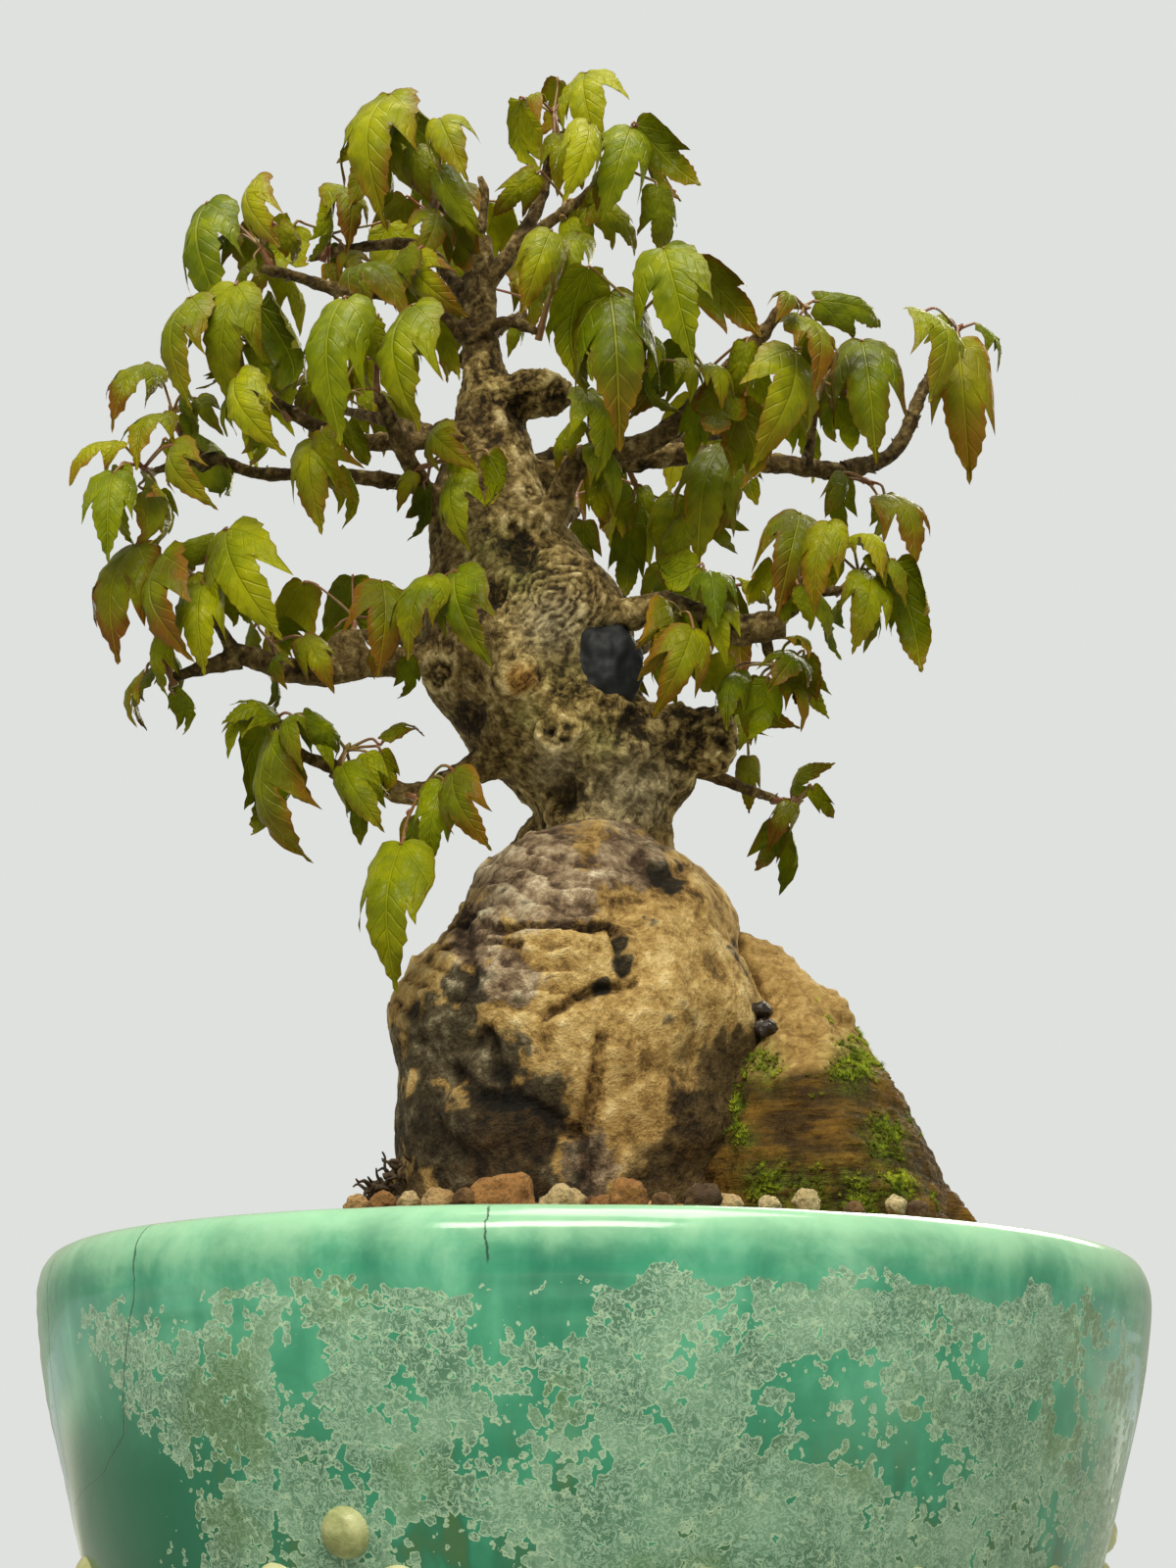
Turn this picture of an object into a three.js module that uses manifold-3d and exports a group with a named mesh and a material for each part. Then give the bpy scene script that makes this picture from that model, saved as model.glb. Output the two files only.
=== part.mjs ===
// Trident maple bonsai with its roots over a stone, in a round glazed pot.
// Millimetres, +Z up, the front of the tree faces -Y.
// The origin lies on the surface that the feet stand on, under the middle of the pot.
import * as THREE from 'three';
import { mergeVertices } from 'three/addons/utils/BufferGeometryUtils.js';
import Module from 'manifold-3d';

const wasm = await Module();
wasm.setup();

// Driving dimensions of the pot
const POT_R = 90;
const POT_H = 70;
const WALL = 6;
const FOOT_H = 8;
const FLOOR_Z = 14;
const DRAIN_R = 8;
const FOOT_ANGLES = [-23.5, 89, 211];
const FOOT_TOP = 25;
const FOOT_IN = 58;
const FOOT_OUT = 78.5;
const FOOT_IN_HALF = 8;
const FOOT_OUT_HALF = 11;
const STUD_R = 3.4;
const HIGH_STUD = { r: 81.8, z: 28.5 };
const LOW_STUD = { r: 79.5, z: 21.3 };
const LOW_STUD_ANGLES = [-8.5, 5, 34, 56, 78];
const ROUND_STEPS = 32;

// Driving dimensions of what stands in the pot
const GAP = 0.3;
const SOIL_RIM_Z = 66;
const SOIL_RIM_R = 80.4;
const SOIL_CROWN_Z = 76.5;
const SOIL_CROWN_R = 33;
const MESH_R = 14;
const MESH_T = 0.6;
const GRAINS = 9;
const GRAIN_R = 2.2;
const GRAIN_MORE = 1.6;
const GRAIN_RING = [36, 74];
const GRAIN_TURN = 137.5;
const ROCK_STEPS = 16;
const BLADE_T = 1.2;
const PETIOLE_R = 0.45;
const PETIOLE_DROP = 1.6;
const SHOOT_R = 0.7;
const SHOOT_LEAST = 4;
const HUB_R = 1.5;
const HUB_END = 1.8;
const DEPTH_SPREAD = 6;
const TURN_SPREAD = 24;

// The tree is laid out on the plane y = 0 as it is seen from EYE, as x and z.
// A third number then pushes a point along its line of sight to that depth.
const EYE = { x: -1.5, y: -405, z: 31 };

function seen(x, z, y) {
  const k = (y - EYE.y) / -EYE.y;
  return new THREE.Vector3(EYE.x + (x - EYE.x) * k, y, EYE.z + (z - EYE.z) * k);
}

// Trunk rings from the stone upward: z, middle x, middle y, half width, half depth
const TRUNK = [
  [138, 1.5, 6, 9, 9], [145, 1.5, 5, 12, 12], [150, 1.5, 4, 13, 13], [154, 1, 3, 16, 15],
  [159, -2, 2, 20, 16], [165, -6, 1, 20, 17], [171, -11, 1, 19.5, 17], [179, -12.5, 1, 20, 17.5],
  [188, -12.5, 2, 19, 16], [195, -15, 3, 16, 14], [202, -18, 3, 13.5, 12], [209, -20, 3, 10.8, 10.5],
  [217, -20, 3, 8.8, 8.5], [226, -20.5, 2, 6.4, 6.4], [236, -21.5, 2, 4.2, 4.2],
  [247, -22.5, 2, 3.4, 3.4], [256, -22.5, 2, 2.9, 2.9], [263, -22.5, 2, 2.3, 2.3],
];

// Stone rings from its bed upward, in the same order
const ROCK = [
  [66, -3, -4, 30, 25], [77, -2, -4, 30, 26], [88, -2, -4, 31, 27], [100, -2.5, -4, 31, 28],
  [111, -3, -4, 31.4, 28], [118, -3, -3, 29.8, 27], [124, -1.5, -2, 26, 25],
  [130, 0, -1, 23.8, 22.5], [137, -1.5, 0, 19.8, 18.5], [141.5, -1, 1, 15.3, 14.5],
  [145, 0, 2, 9.5, 10],
];

// The thick root over the stone's right shoulder, ring by ring
const MAIN_ROOT = [
  [150, 4, 8, 8, 8], [140, 8, 11, 8.5, 9], [131, 14.5, 11, 9, 10], [125, 22.5, 9.5, 10.3, 11.6],
  [117, 29.4, 7, 12.3, 14], [108, 32.5, 1.5, 13.6, 16.8], [98, 34.7, -5, 16.5, 20.6],
  [88, 35.6, -9.5, 19.2, 23.4], [78, 36.5, -11.5, 22.3, 24.8], [67, 37, -12, 23.5, 25.5],
];

// Thinner roots, as points x, y, z with a radius at each end
const ROOTS = [
  { from: 6, to: 3, points: [[0, 10, 147], [0, 22, 134], [-4, 27, 112], [-8, 30, 90], [-10, 34, 68]] },
  { from: 6, to: 3, points: [[-6, 8, 147], [-20, 18, 132], [-26, 20, 108], [-29, 16, 88], [-32, 8, 69]] },
  { from: 5, to: 2.5, points: [[8, 12, 146], [20, 24, 124], [22, 32, 96], [24, 42, 67]] },
  { from: 5, to: 2.5, points: [[44, 0, 92], [54, -6, 84], [59, -10, 77], [62, -12, 68]] },
  { from: 3, to: 2, points: [[-27, 16, 96], [-34, 8, 83], [-40, 2, 68]] },
];

// Branches: layout x, z and depth of each point, with the radius at both ends
const BRANCHES = [
  { name: 'top_left', from: 1.7, to: 1.0, points: [[-23, 260, 2], [-29, 268, -2], [-39, 277, -6]] },
  { name: 'top_twig', from: 1.2, to: 0.8, points: [[-23, 258, 2], [-22, 270, 0], [-23, 275, -1]] },
  { name: 'top_right', from: 2.0, to: 1.0,
    points: [[-24, 248, 2], [-16, 260, 0], [-12, 268, 2], [-9, 282, 3]] },
  { name: 'top_right_low', from: 1.5, to: 0.9, points: [[-16, 260, 0], [-7, 267, -4], [0, 274, -8]] },
  { name: 'left_high', from: 1.8, to: 1.0,
    points: [[-24, 241, 0], [-38, 249, -6], [-50, 251, -10], [-64, 255, -14]] },
  { name: 'left_high_back', from: 1.6, to: 0.9,
    points: [[-24, 248, 3], [-33, 259, 9], [-43, 260, 12], [-55, 257, 14]] },
  { name: 'right_short', from: 1.6, to: 0.9, points: [[-24, 240, 0], [-18, 244, -3], [-11, 242, -5]] },
  { name: 'left_mid', from: 2.2, to: 1.1,
    points: [[-21, 222, 0], [-41, 219, -12], [-53, 223, -20], [-66, 231, -28]] },
  { name: 'left', from: 1.9, to: 0.8,
    points: [[-22, 206, 0], [-40, 212, -5], [-62, 213, -12], [-72, 216, -15], [-82, 213, -17]] },
  { name: 'left_up', from: 1.3, to: 0.9, points: [[-72, 214, -15.5], [-77, 221, -14]] },
  { name: 'front_left', from: 2.3, to: 1.1, points: [[-30, 205, -4], [-35, 216, -14], [-41, 229, -20]] },
  { name: 'right_main', from: 2.8, to: 1.2,
    points: [[-10, 202, -6], [-3, 216, -14], [10, 220, -16], [22, 232, -20], [35, 248, -26]] },
  { name: 'right_up', from: 1.4, to: 0.9, points: [[-1, 217, -15], [4, 224, -21], [8, 238, -26]] },
  { name: 'far_right', from: 2.9, to: 1.7,
    points: [[-15, 212, 4], [12, 217, 2], [35, 215, 0], [46, 214, 2]] },
  { name: 'far_right_tip', from: 1.7, to: 1.1,
    points: [[45, 214, 2], [54, 218, 4], [60, 230, 7], [65, 241, 10]] },
  { name: 'far_right_up', from: 1.2, to: 0.8, points: [[38, 214, 0], [39, 220, -6], [40, 228, -10]] },
  { name: 'right_low', from: 3.2, to: 2.6,
    points: [[-2, 184, -6], [11, 187, -15], [24, 183, -17], [34, 184, -18]] },
  { name: 'right_low_tip', from: 1.2, to: 0.8,
    points: [[31, 184, -18], [38, 189, -19], [44, 191, -17]] },
  { name: 'right_hanging', from: 1.1, to: 0.8, points: [[30, 183, -17], [31, 177, -14]] },
  { name: 'left_low', from: 3.0, to: 2.0,
    points: [[-24, 178, 0], [-40, 176, -7], [-50, 174, -10], [-66, 178, -14]] },
  { name: 'left_low_tip', from: 1.7, to: 1.0,
    points: [[-64, 177, -14], [-70, 175, -15], [-76, 173, -16]] },
  { name: 'left_low_up', from: 1.2, to: 0.8, points: [[-65, 178, -14], [-70, 186, -17]] },
  { name: 'lowest_left', from: 2.8, to: 1.0,
    points: [[-18, 158, 0], [-32, 152, -5], [-44, 156, -8], [-57, 161, -11]] },
  { name: 'lowest_right', from: 1.8, to: 0.9, points: [[12, 158, 8], [22, 155, 13], [32, 151, 15]] },
  { name: 'lowest_right_up', from: 1.0, to: 0.8, points: [[20, 156, 12], [25, 162, 17]] },
  { name: 'back_low', from: 2.8, to: 1.1, points: [[-2, 170, 8], [6, 178, 28], [12, 182, 44]] },
  { name: 'back_low_left', from: 2.5, to: 1.0, points: [[-16, 176, 8], [-32, 180, 24], [-44, 182, 36]] },
  { name: 'back', from: 3.0, to: 1.1, points: [[-14, 196, 6], [-10, 200, 26], [-4, 206, 52]] },
  { name: 'back_left', from: 2.5, to: 1.0, points: [[-21, 216, 5], [-34, 222, 24], [-48, 226, 42]] },
  { name: 'back_right', from: 2.7, to: 1.0, points: [[-18, 214, 5], [4, 218, 22], [26, 222, 40]] },
  { name: 'back_high', from: 2.0, to: 1.0, points: [[-24, 236, 3], [-20, 242, 18], [-14, 246, 32]] },
  { name: 'back_top', from: 1.7, to: 0.9, points: [[-23, 252, 2], [-26, 258, 12], [-30, 262, 24]] },
];

// Knobs, healed cuts and the big cut stub: layout x, z, depth, then radii across, deep and up
const KNOBS = [
  [-8, 189, -13, 11, 5, 9], [-15, 173.5, -15, 4.2, 3, 4.2], [-13, 204, -9, 4.5, 3, 3],
  [-7, 163, -13, 4.2, 3, 4.2], [-45, 179, -8, 3.6, 3, 3.4], [11, 162, -3, 12, 7, 7],
  [20, 162, -5, 5.5, 5, 6.5], [-12.5, 229.5, 0, 8, 5.5, 4.6],
];

// The black paste on the largest cut: layout x, z, depth, then radii across, deep and up
const PASTE = [1, 175.5, -11, 6.8, 5, 8.2];

// Sprays of leaves. from: where the shoot leaves the wood (layout x, z and depth).
// Each leaf: layout x and z of the blade's base, of its tip, how far the tip lies behind its
// base (less than 0 is nearer the front), and the turn of the blade about its own length.
const SPRAYS = [
  { name: 'spray_top_left', from: [-39, 277, -6], depth: -10, leaves: [[-41, 293, -43, 268, -4, 0],
    [-43, 290, -48, 272, 4, -50], [-38, 288, -37, 270, 6, 30], [-38, 293, -31, 280, -8, 35]] },
  { name: 'spray_top', from: [-29, 268, -2], depth: -6, leaves: [[-30, 278, -25, 266, -8, 10],
    [-31, 267, -34, 257, -6, -40], [-30, 267, -23, 255, -4, 20]] },
  { name: 'spray_left_high', from: [-62, 255, -13], depth: -18, leaves: [[-75, 269, -71, 246, -4, -10],
    [-69, 267, -64, 252, 2, 20], [-65, 268, -60, 255, -6, 30], [-61, 264, -57, 256, 8, 0]] },
  { name: 'spray_left_high_back', from: [-52, 258, 13], depth: 12, leaves: [[-50, 273, -47, 261, -6, 0],
    [-51, 266, -54, 255, 6, -30], [-58, 264, -62, 254, -8, 0], [-41, 269, -37, 257, -6, 10]] },
  { name: 'spray_left_mid_tip', from: [-66, 231, -28], depth: -32, leaves: [[-77, 249, -77, 228, -3, 0],
    [-68, 250, -69, 227, 4, -35], [-64, 250, -58, 231, -6, 25]] },
  { name: 'spray_left_mid', from: [-58, 225, -23], hub: [-62, 231, -26], depth: -28,
    leaves: [[-66, 228, -59, 214, -6, 20]] },
  { name: 'spray_left_up', from: [-77, 221, -14], depth: -20, leaves: [[-83, 235, -90, 224, -8, -20],
    [-81, 225, -85, 215, -8, -10], [-77, 225, -70, 216, -10, 30]] },
  { name: 'spray_left_tip', from: [-82, 213, -17], depth: -29, leaves: [[-89, 213, -89, 197, -5, -40],
    [-88, 214, -85, 199, 6, 0], [-85, 214, -82, 203, -10, 40], [-78, 217, -72, 206, -6, 30]] },
  { name: 'spray_left_low_side', from: [-49, 221, -18], depth: -22, leaves: [[-53, 220, -51, 203, -5, -20],
    [-51, 220, -45, 206, 4, 40]] },
  { name: 'spray_front_left', from: [-41, 229, -20], depth: -30, leaves: [[-47, 244, -48, 218, -4, 0],
    [-51, 240, -57, 228, 6, -30], [-42, 243, -43, 228, 8, 10], [-35, 246, -35, 223, -5, 15],
    [-32, 244, -26, 233, 6, 45]] },
  { name: 'spray_high_front', from: [-38, 249, -6], depth: -18, leaves: [[-36, 257, -26, 246, -4, 40],
    [-46, 254, -36, 245, -8, 0], [-34, 256, -39, 244, 8, -20]] },
  { name: 'spray_trunk_front', from: [-34, 213, -11], depth: -22, leaves: [[-31, 222, -24, 215, -8, 20],
    [-26, 215, -25, 201, -4, 30], [-20, 217, -19, 207, -4, 50]] },
  { name: 'spray_apex', from: [-9, 282, 3], depth: 2, leaves: [[-3, 298, -1, 282, -6, 10],
    [-8, 296, -11, 284, 8, -20], [-16, 293, -11, 276, 2, -50]] },
  { name: 'spray_apex_right', from: [0, 274, -8], depth: -12, leaves: [[6, 286, 1, 268, -5, 0],
    [7, 288, 19, 275, 0, 40], [9, 283, 15, 272, 6, 20], [11, 275, 12, 260, 8, 0],
    [-2, 281, -6, 266, -4, -30]] },
  { name: 'spray_apex_low', from: [-7, 267, -4], depth: -2, leaves: [[-1, 269, 7, 259, 8, 20],
    [-12, 272, -20, 263, 6, -40]] },
  { name: 'spray_right_short', from: [-11, 242, -5], depth: -14, leaves: [[-4, 263, -7, 250, -6, 0],
    [-9, 260, -14, 244, -3, -30]] },
  { name: 'spray_right_up', from: [8, 238, -26], depth: -34, leaves: [[12, 260, 17, 238, -4, 10],
    [18, 256, 30, 242, 2, 45], [2, 252, 4, 224, -5, 0], [-3, 255, -3, 230, 6, -40]] },
  { name: 'spray_right_mid', from: [20, 230, -19], depth: -22, leaves: [[16, 239, 6, 225, 6, -40],
    [8, 231, 14, 223, 8, 0], [23, 230, 21, 220, -8, 0], [26, 227, 28, 210, -3, 60],
    [27, 237, 25, 225, 6, 20]] },
  { name: 'spray_right_drop', from: [20, 217, 1], depth: -12, leaves: [[23, 221, 18, 199, -5, 10],
    [14, 212, 11, 200, 4, 0], [16, 204, 12, 192, 10, 0]] },
  { name: 'spray_right_tip', from: [35, 248, -26], depth: -28, leaves: [[38, 246, 41, 232, -6, 0],
    [41, 249, 53, 244, 8, 30]] },
  { name: 'spray_far_up', from: [40, 228, -10], depth: -14, leaves: [[35, 231, 29, 210, -4, -20],
    [49, 241, 51, 218, -4, 20], [45, 236, 42, 222, 8, 0]] },
  { name: 'spray_far_tip', from: [64, 239, 9], hub: [67, 243, 6], depth: 3,
    leaves: [[66, 238, 67, 212, 2, 50], [59, 239, 61, 224, -8, 0]] },
  { name: 'spray_far_flat', from: [46, 214, 2], depth: -4, leaves: [[53, 210, 58, 197, -6, 0]] },
  { name: 'spray_right_low_tip', from: [44, 191, -17], depth: -18, leaves: [[46, 201, 52, 196, -10, 0],
    [49, 193, 46, 179, -6, 0], [54, 196, 58, 176, 0, 50], [43, 188, 43, 178, 8, 0]] },
  { name: 'spray_right_low_mid', from: [38, 189, -19], depth: -26, leaves: [[37, 206, 33, 189, -6, 0],
    [41, 200, 38, 184, -2, 40], [36, 188, 41, 178, 6, 30]] },
  { name: 'spray_right_low_top', from: [22, 184, -17], hub: [22, 190, -18], depth: -16,
    leaves: [[18, 195, 10, 193, -10, -20], [20, 192, 21, 182, -8, 20], [26, 192, 31, 187, 8, 0]] },
  { name: 'spray_right_low_front', from: [15, 186, -16], depth: -26, leaves: [[13, 188, 8, 174, -3, -40],
    [15, 188, 18, 178, -8, 30], [17, 181, 11, 166, -2, -10]] },
  { name: 'spray_right_hanging', from: [31, 177, -14], depth: -16, leaves: [[25, 178, 17, 175, -8, -20],
    [25, 175, 23, 165, -6, 20], [29, 174, 27, 162, 5, 0], [36, 178, 31, 172, -9, 0],
    [37, 178, 36, 168, -4, 30], [37, 176, 41, 168, 6, 40]] },
  { name: 'spray_lowest_right_up', from: [25, 162, 17], depth: 18, leaves: [[25, 167, 35, 165, 6, 10],
    [27, 160, 27, 150, 2, 0]] },
  { name: 'spray_lowest_right', from: [32, 151, 15], depth: 16, leaves: [[34, 152, 41, 158, 4, 30],
    [34, 150, 30, 142, -4, 0]] },
  { name: 'spray_left_low_tip', from: [-76, 173, -16], depth: -16, leaves: [[-77, 181, -76, 168, 4, 0],
    [-80, 176, -82, 165, 8, 0]] },
  { name: 'spray_left_low_up', from: [-70, 186, -17], depth: -25, leaves: [[-84, 199, -87, 178, -3, -20],
    [-79, 197, -75, 178, -6, 20], [-68, 202, -58, 182, -4, 10], [-71, 201, -79, 193, 8, -20],
    [-71, 190, -70, 174, -4, -10]] },
  { name: 'spray_left_low_mid', from: [-57, 176, -12], depth: -10, leaves: [[-58, 184, -51, 177, 4, 30],
    [-62, 183, -60, 174, 8, 0]] },
  { name: 'spray_trunk_left', from: [-38, 176, -7], depth: -22, leaves: [[-39, 192, -39, 175, -3, -30],
    [-26, 194, -20, 177, -4, 20], [-30, 192, -34, 178, -6, 0]] },
  { name: 'spray_lowest_left_tip', from: [-57, 161, -11], depth: -14, leaves: [[-57, 167, -66, 165, -6, -20],
    [-60, 167, -60, 146, -4, -10], [-58, 162, -53, 140, 2, 20], [-55, 161, -51, 149, 8, 0]] },
  { name: 'spray_lowest_left_mid', from: [-46, 156, -8], depth: -10, leaves: [[-51, 163, -44, 156, 8, 20],
    [-44, 154, -37, 143, -5, 20], [-38, 162, -31, 164, 4, 0]] },
  { name: 'spray_lowest_left_flat', from: [-34, 152, -5], depth: -20, leaves: [[-34, 142, -35, 118, -3, 0],
    [-27, 153, -29, 138, 2, -10], [-25, 153, -19, 140, -4, 20]] },
  { name: 'spray_centre', from: [-1, 217, -15], depth: -24, leaves: [[-2, 232, 1, 216, -3, -20],
    [-4, 224, -8, 214, 6, 0]] },
  { name: 'spray_behind_trunk', from: [5, 217, 3], depth: 14, leaves: [[6, 203, 5, 189, 2, 0],
    [12, 206, 14, 194, 8, 20]] },
];

// Sprays at the back, whose leaves are spread round the shoot by a rule: name, layout x, z and
// depth of the shoot and the number of leaves. BACK_RULE says how wide, high and long.
const BACK_RULE = { spread: 26, rise: 10, droop: 16, splay: 14, length: 15, reach: 5, turn: 40 };
const BACK_SPRAYS = [
  ['spray_back_low', 12, 182, 44, 3], ['spray_back_low_mid', 5, 177, 26, 2],
  ['spray_back_low_left', -44, 182, 36, 3], ['spray_back', -4, 206, 52, 4],
  ['spray_back_left', -48, 226, 42, 4], ['spray_back_right', 26, 222, 40, 4],
  ['spray_back_high', -14, 246, 32, 3], ['spray_back_top', -30, 262, 24, 3],
];

// Blade outline for a blade of length 1: along the rib and out from it, right half.
// The last two points lie inside, where the blade has its full thickness.
const BLADE_EDGE = [[0.17, 0.28], [0.57, 0.45], [0.44, 0.18], [0.68, 0.17]];
const BLADE_TIP = [1, 0];
const BLADE_RIB = [[0.2, 0], [0.6, 0]];
const BLADE_LOBE = [0.4, 0.28];
const BLADE_ARCH = 0.2;
const BLADE_FOLD = 1.1;

// Upper faces look forward, or back from the depth BACK_FROM on, and up and outward
const BACK_FROM = 5;
const FORWARD = 0.9;
const UPWARD = 0.5;
const SIDEWAYS = 0.008;

// Clear room that each leaf keeps to the leaves of other sprays and to the wood
const ROOM = 0.11;
const OWN_ROOM = 0.08;
const STALK_ROOM = 6;
const ROOM_SPOTS = [[0.15, 0], [0.42, 0], [0.7, 0], [0.93, 0],
  [0.3, 0.22], [0.3, -0.22], [0.5, 0.38], [0.5, -0.38]];
const SHIFTS = [0, -3, 3, -6, 6, -9, 9, -12, 12, -15, 15];

// A small repeatable draw between 0 and 1
function draws(seed) {
  let state = seed;
  return () => {
    state = (state * 1664525 + 1013904223) % 4294967296;
    return state / 4294967296;
  };
}

const rad = THREE.MathUtils.degToRad;

function solid(geometry) {
  const bare = geometry.index ? geometry.toNonIndexed() : geometry.clone();
  bare.deleteAttribute('normal');
  bare.deleteAttribute('uv');
  const merged = mergeVertices(bare, 1e-4);
  const mesh = new wasm.Mesh({
    numProp: 3,
    vertProperties: new Float32Array(merged.attributes.position.array),
    triVerts: new Uint32Array(merged.index.array),
  });
  return new wasm.Manifold(mesh);
}

function join(solids) {
  return solids.reduce((sum, one) => sum.add(one));
}

// The largest body of a solid, without the scraps that a cut can leave
function mainBody(whole) {
  return whole.decompose().reduce((a, b) => (a.volume() > b.volume() ? a : b));
}

function toGeometry(whole) {
  const mesh = whole.getMesh();
  const geometry = new THREE.BufferGeometry();
  const position = new Float32Array(mesh.numVert * 3);
  for (let i = 0; i < mesh.numVert; i += 1) {
    for (let k = 0; k < 3; k += 1) position[3 * i + k] = mesh.vertProperties[i * mesh.numProp + k];
  }
  geometry.setAttribute('position', new THREE.BufferAttribute(position, 3));
  geometry.setIndex(Array.from(mesh.triVerts));
  geometry.computeVertexNormals();
  return geometry;
}

// A closed skin over rings of equal count, from the first ring to the last
function skin(rings) {
  const count = rings[0].length;
  const points = rings.flat();
  const faces = [];
  for (let r = 0; r + 1 < rings.length; r += 1) {
    for (let i = 0; i < count; i += 1) {
      const a = r * count + i;
      const b = r * count + (i + 1) % count;
      faces.push(a, b, b + count, a, b + count, a + count);
    }
  }
  const last = (rings.length - 1) * count;
  for (let i = 1; i + 1 < count; i += 1) {
    faces.push(0, i + 1, i, last, last + i, last + i + 1);
  }
  const geometry = new THREE.BufferGeometry().setFromPoints(points);
  geometry.setIndex(faces);
  return geometry;
}

// Level oval rings, stacked upward. roughness moves each corner in or out by a seeded share.
function stack(rows, steps, roughness, seed, grow) {
  const draw = draws(seed);
  const upward = rows[0][0] < rows[rows.length - 1][0] ? rows : [...rows].reverse();
  const rings = upward.map(([z, x, y, across, deep]) => {
    const ring = [];
    for (let i = 0; i < steps; i += 1) {
      const angle = (2 * Math.PI * i) / steps;
      const rough = 1 + roughness * (2 * draw() - 1);
      ring.push(new THREE.Vector3(
        x + (across * rough + grow) * Math.cos(angle),
        y + (deep * rough + grow) * Math.sin(angle),
        z,
      ));
    }
    return ring;
  });
  if (grow > 0) {
    rings[0].forEach((p) => { p.z -= grow; });
    rings[rings.length - 1].forEach((p) => { p.z += grow; });
  }
  return solid(skin(rings));
}

// A tapering stem through its points, lengthened by grow at both ends
function stem(points, fromR, toR, sides, steps, grow = 0) {
  const curve = new THREE.CatmullRomCurve3(points);
  const frames = curve.computeFrenetFrames(steps);
  const rings = [];
  for (let s = 0; s <= steps; s += 1) {
    const longer = s === 0 ? -grow : s === steps ? grow : 0;
    const at = curve.getPointAt(s / steps).addScaledVector(frames.tangents[s], longer);
    const r = fromR + (toR - fromR) * (s / steps);
    const ring = [];
    for (let i = 0; i < sides; i += 1) {
      const angle = (2 * Math.PI * i) / sides;
      ring.push(at.clone()
        .addScaledVector(frames.normals[s], r * Math.cos(angle))
        .addScaledVector(frames.binormals[s], r * Math.sin(angle)));
    }
    rings.push(ring);
  }
  return solid(skin(rings));
}

function turned(profile, steps) {
  const points = profile.map(([r, z]) => new THREE.Vector2(r, z));
  return solid(new THREE.LatheGeometry(points, steps).rotateX(Math.PI / 2));
}

function ball(centre, across, deep, up, columns, rows) {
  const geometry = new THREE.SphereGeometry(1, columns, rows);
  return solid(geometry.scale(across, deep, up).translate(centre.x, centre.y, centre.z));
}

function onPot(angle, r, z) {
  return new THREE.Vector3(r * Math.sin(rad(angle)), -r * Math.cos(rad(angle)), z);
}

// Outer side of the pot as half width and height, from the underside to the lip
const POT_SIDE = [[62, FOOT_H], [71, 11], [78, 19], [81, 26], [84.3, 36],
  [87.8, 49], [POT_R, 62.5], [89, 67], [86, POT_H]];
// Inside of the pot, from the lip down to the floor
const POT_INSIDE = [[82.4, 69], [POT_R - WALL - 3, 60], [77.5, 41], [71, 24], [63, 16.5], [54, FLOOR_Z]];

function potFoot(angle) {
  const outline = new THREE.Shape();
  const corner = 2.5;
  const cut = FOOT_OUT_HALF - 4;
  outline.moveTo(FOOT_IN, -FOOT_IN_HALF);
  outline.lineTo(FOOT_OUT - corner, -FOOT_OUT_HALF);
  outline.lineTo(FOOT_OUT, -cut);
  outline.lineTo(FOOT_OUT + 1, 0);
  outline.lineTo(FOOT_OUT, cut);
  outline.lineTo(FOOT_OUT - corner, FOOT_OUT_HALF);
  outline.lineTo(FOOT_IN, FOOT_IN_HALF);
  const block = new THREE.ExtrudeGeometry(outline, { depth: FOOT_TOP, bevelEnabled: false });
  return solid(block.rotateZ(rad(angle - 90)));
}

// Each foot has a stud above it and a lower pair beside it, and three more stand between feet
function potStuds() {
  const stud = (angle, { r, z }) => ball(onPot(angle, r, z), STUD_R, STUD_R, STUD_R, 5, 3);
  return FOOT_ANGLES.flatMap((foot) => [
    stud(foot, HIGH_STUD), ...LOW_STUD_ANGLES.map((angle) => stud(foot + angle, LOW_STUD)),
  ]);
}

function makePot() {
  const profile = [[DRAIN_R, FOOT_H], ...POT_SIDE, ...POT_INSIDE, [DRAIN_R, FLOOR_Z], [DRAIN_R, FOOT_H]];
  const inside = turned([[0, FLOOR_Z], ...[...POT_INSIDE].reverse(), [0, 69]], ROUND_STEPS);
  const feet = join(FOOT_ANGLES.map(potFoot)).subtract(inside);
  return mainBody(join([turned(profile, ROUND_STEPS), feet, ...potStuds()]));
}

function makeDrainMesh() {
  const z = FLOOR_Z + GAP;
  return turned([[0, z], [MESH_R, z], [MESH_R, z + MESH_T], [0, z + MESH_T]], 12);
}

const rock = (grow) => stack(ROCK, ROCK_STEPS, 0.035, 7, grow);

function stackedWood(grow) {
  return [stack(TRUNK, 10, 0.05, 11, grow), stack(MAIN_ROOT, 10, 0.05, 5, grow)];
}

function tubedWood(grow) {
  const roots = ROOTS.map(({ points, from, to }) => {
    const curve = points.map(([x, y, z]) => new THREE.Vector3(x, y, z));
    return stem(curve, from + grow, to + grow, 5, 4, grow);
  });
  const branches = BRANCHES.map(({ points, from, to }) => {
    const curve = points.map(([x, z, y]) => seen(x, z, y));
    return stem(curve, from + grow, to + grow, from > 2.6 ? 5 : 4, points.length - 1, grow);
  });
  return [...roots, ...branches];
}

function knobs(grow) {
  return KNOBS.map(([x, z, y, across, deep, up]) => (
    ball(seen(x, z, y), across + grow, deep + grow, up + grow, 5, 4)));
}

// All wood as one body, before the stone is cut out of it. grow adds room all round.
function wholeWood(grow) {
  return join([...stackedWood(grow), ...tubedWood(grow), ...knobs(grow)]);
}

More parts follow.
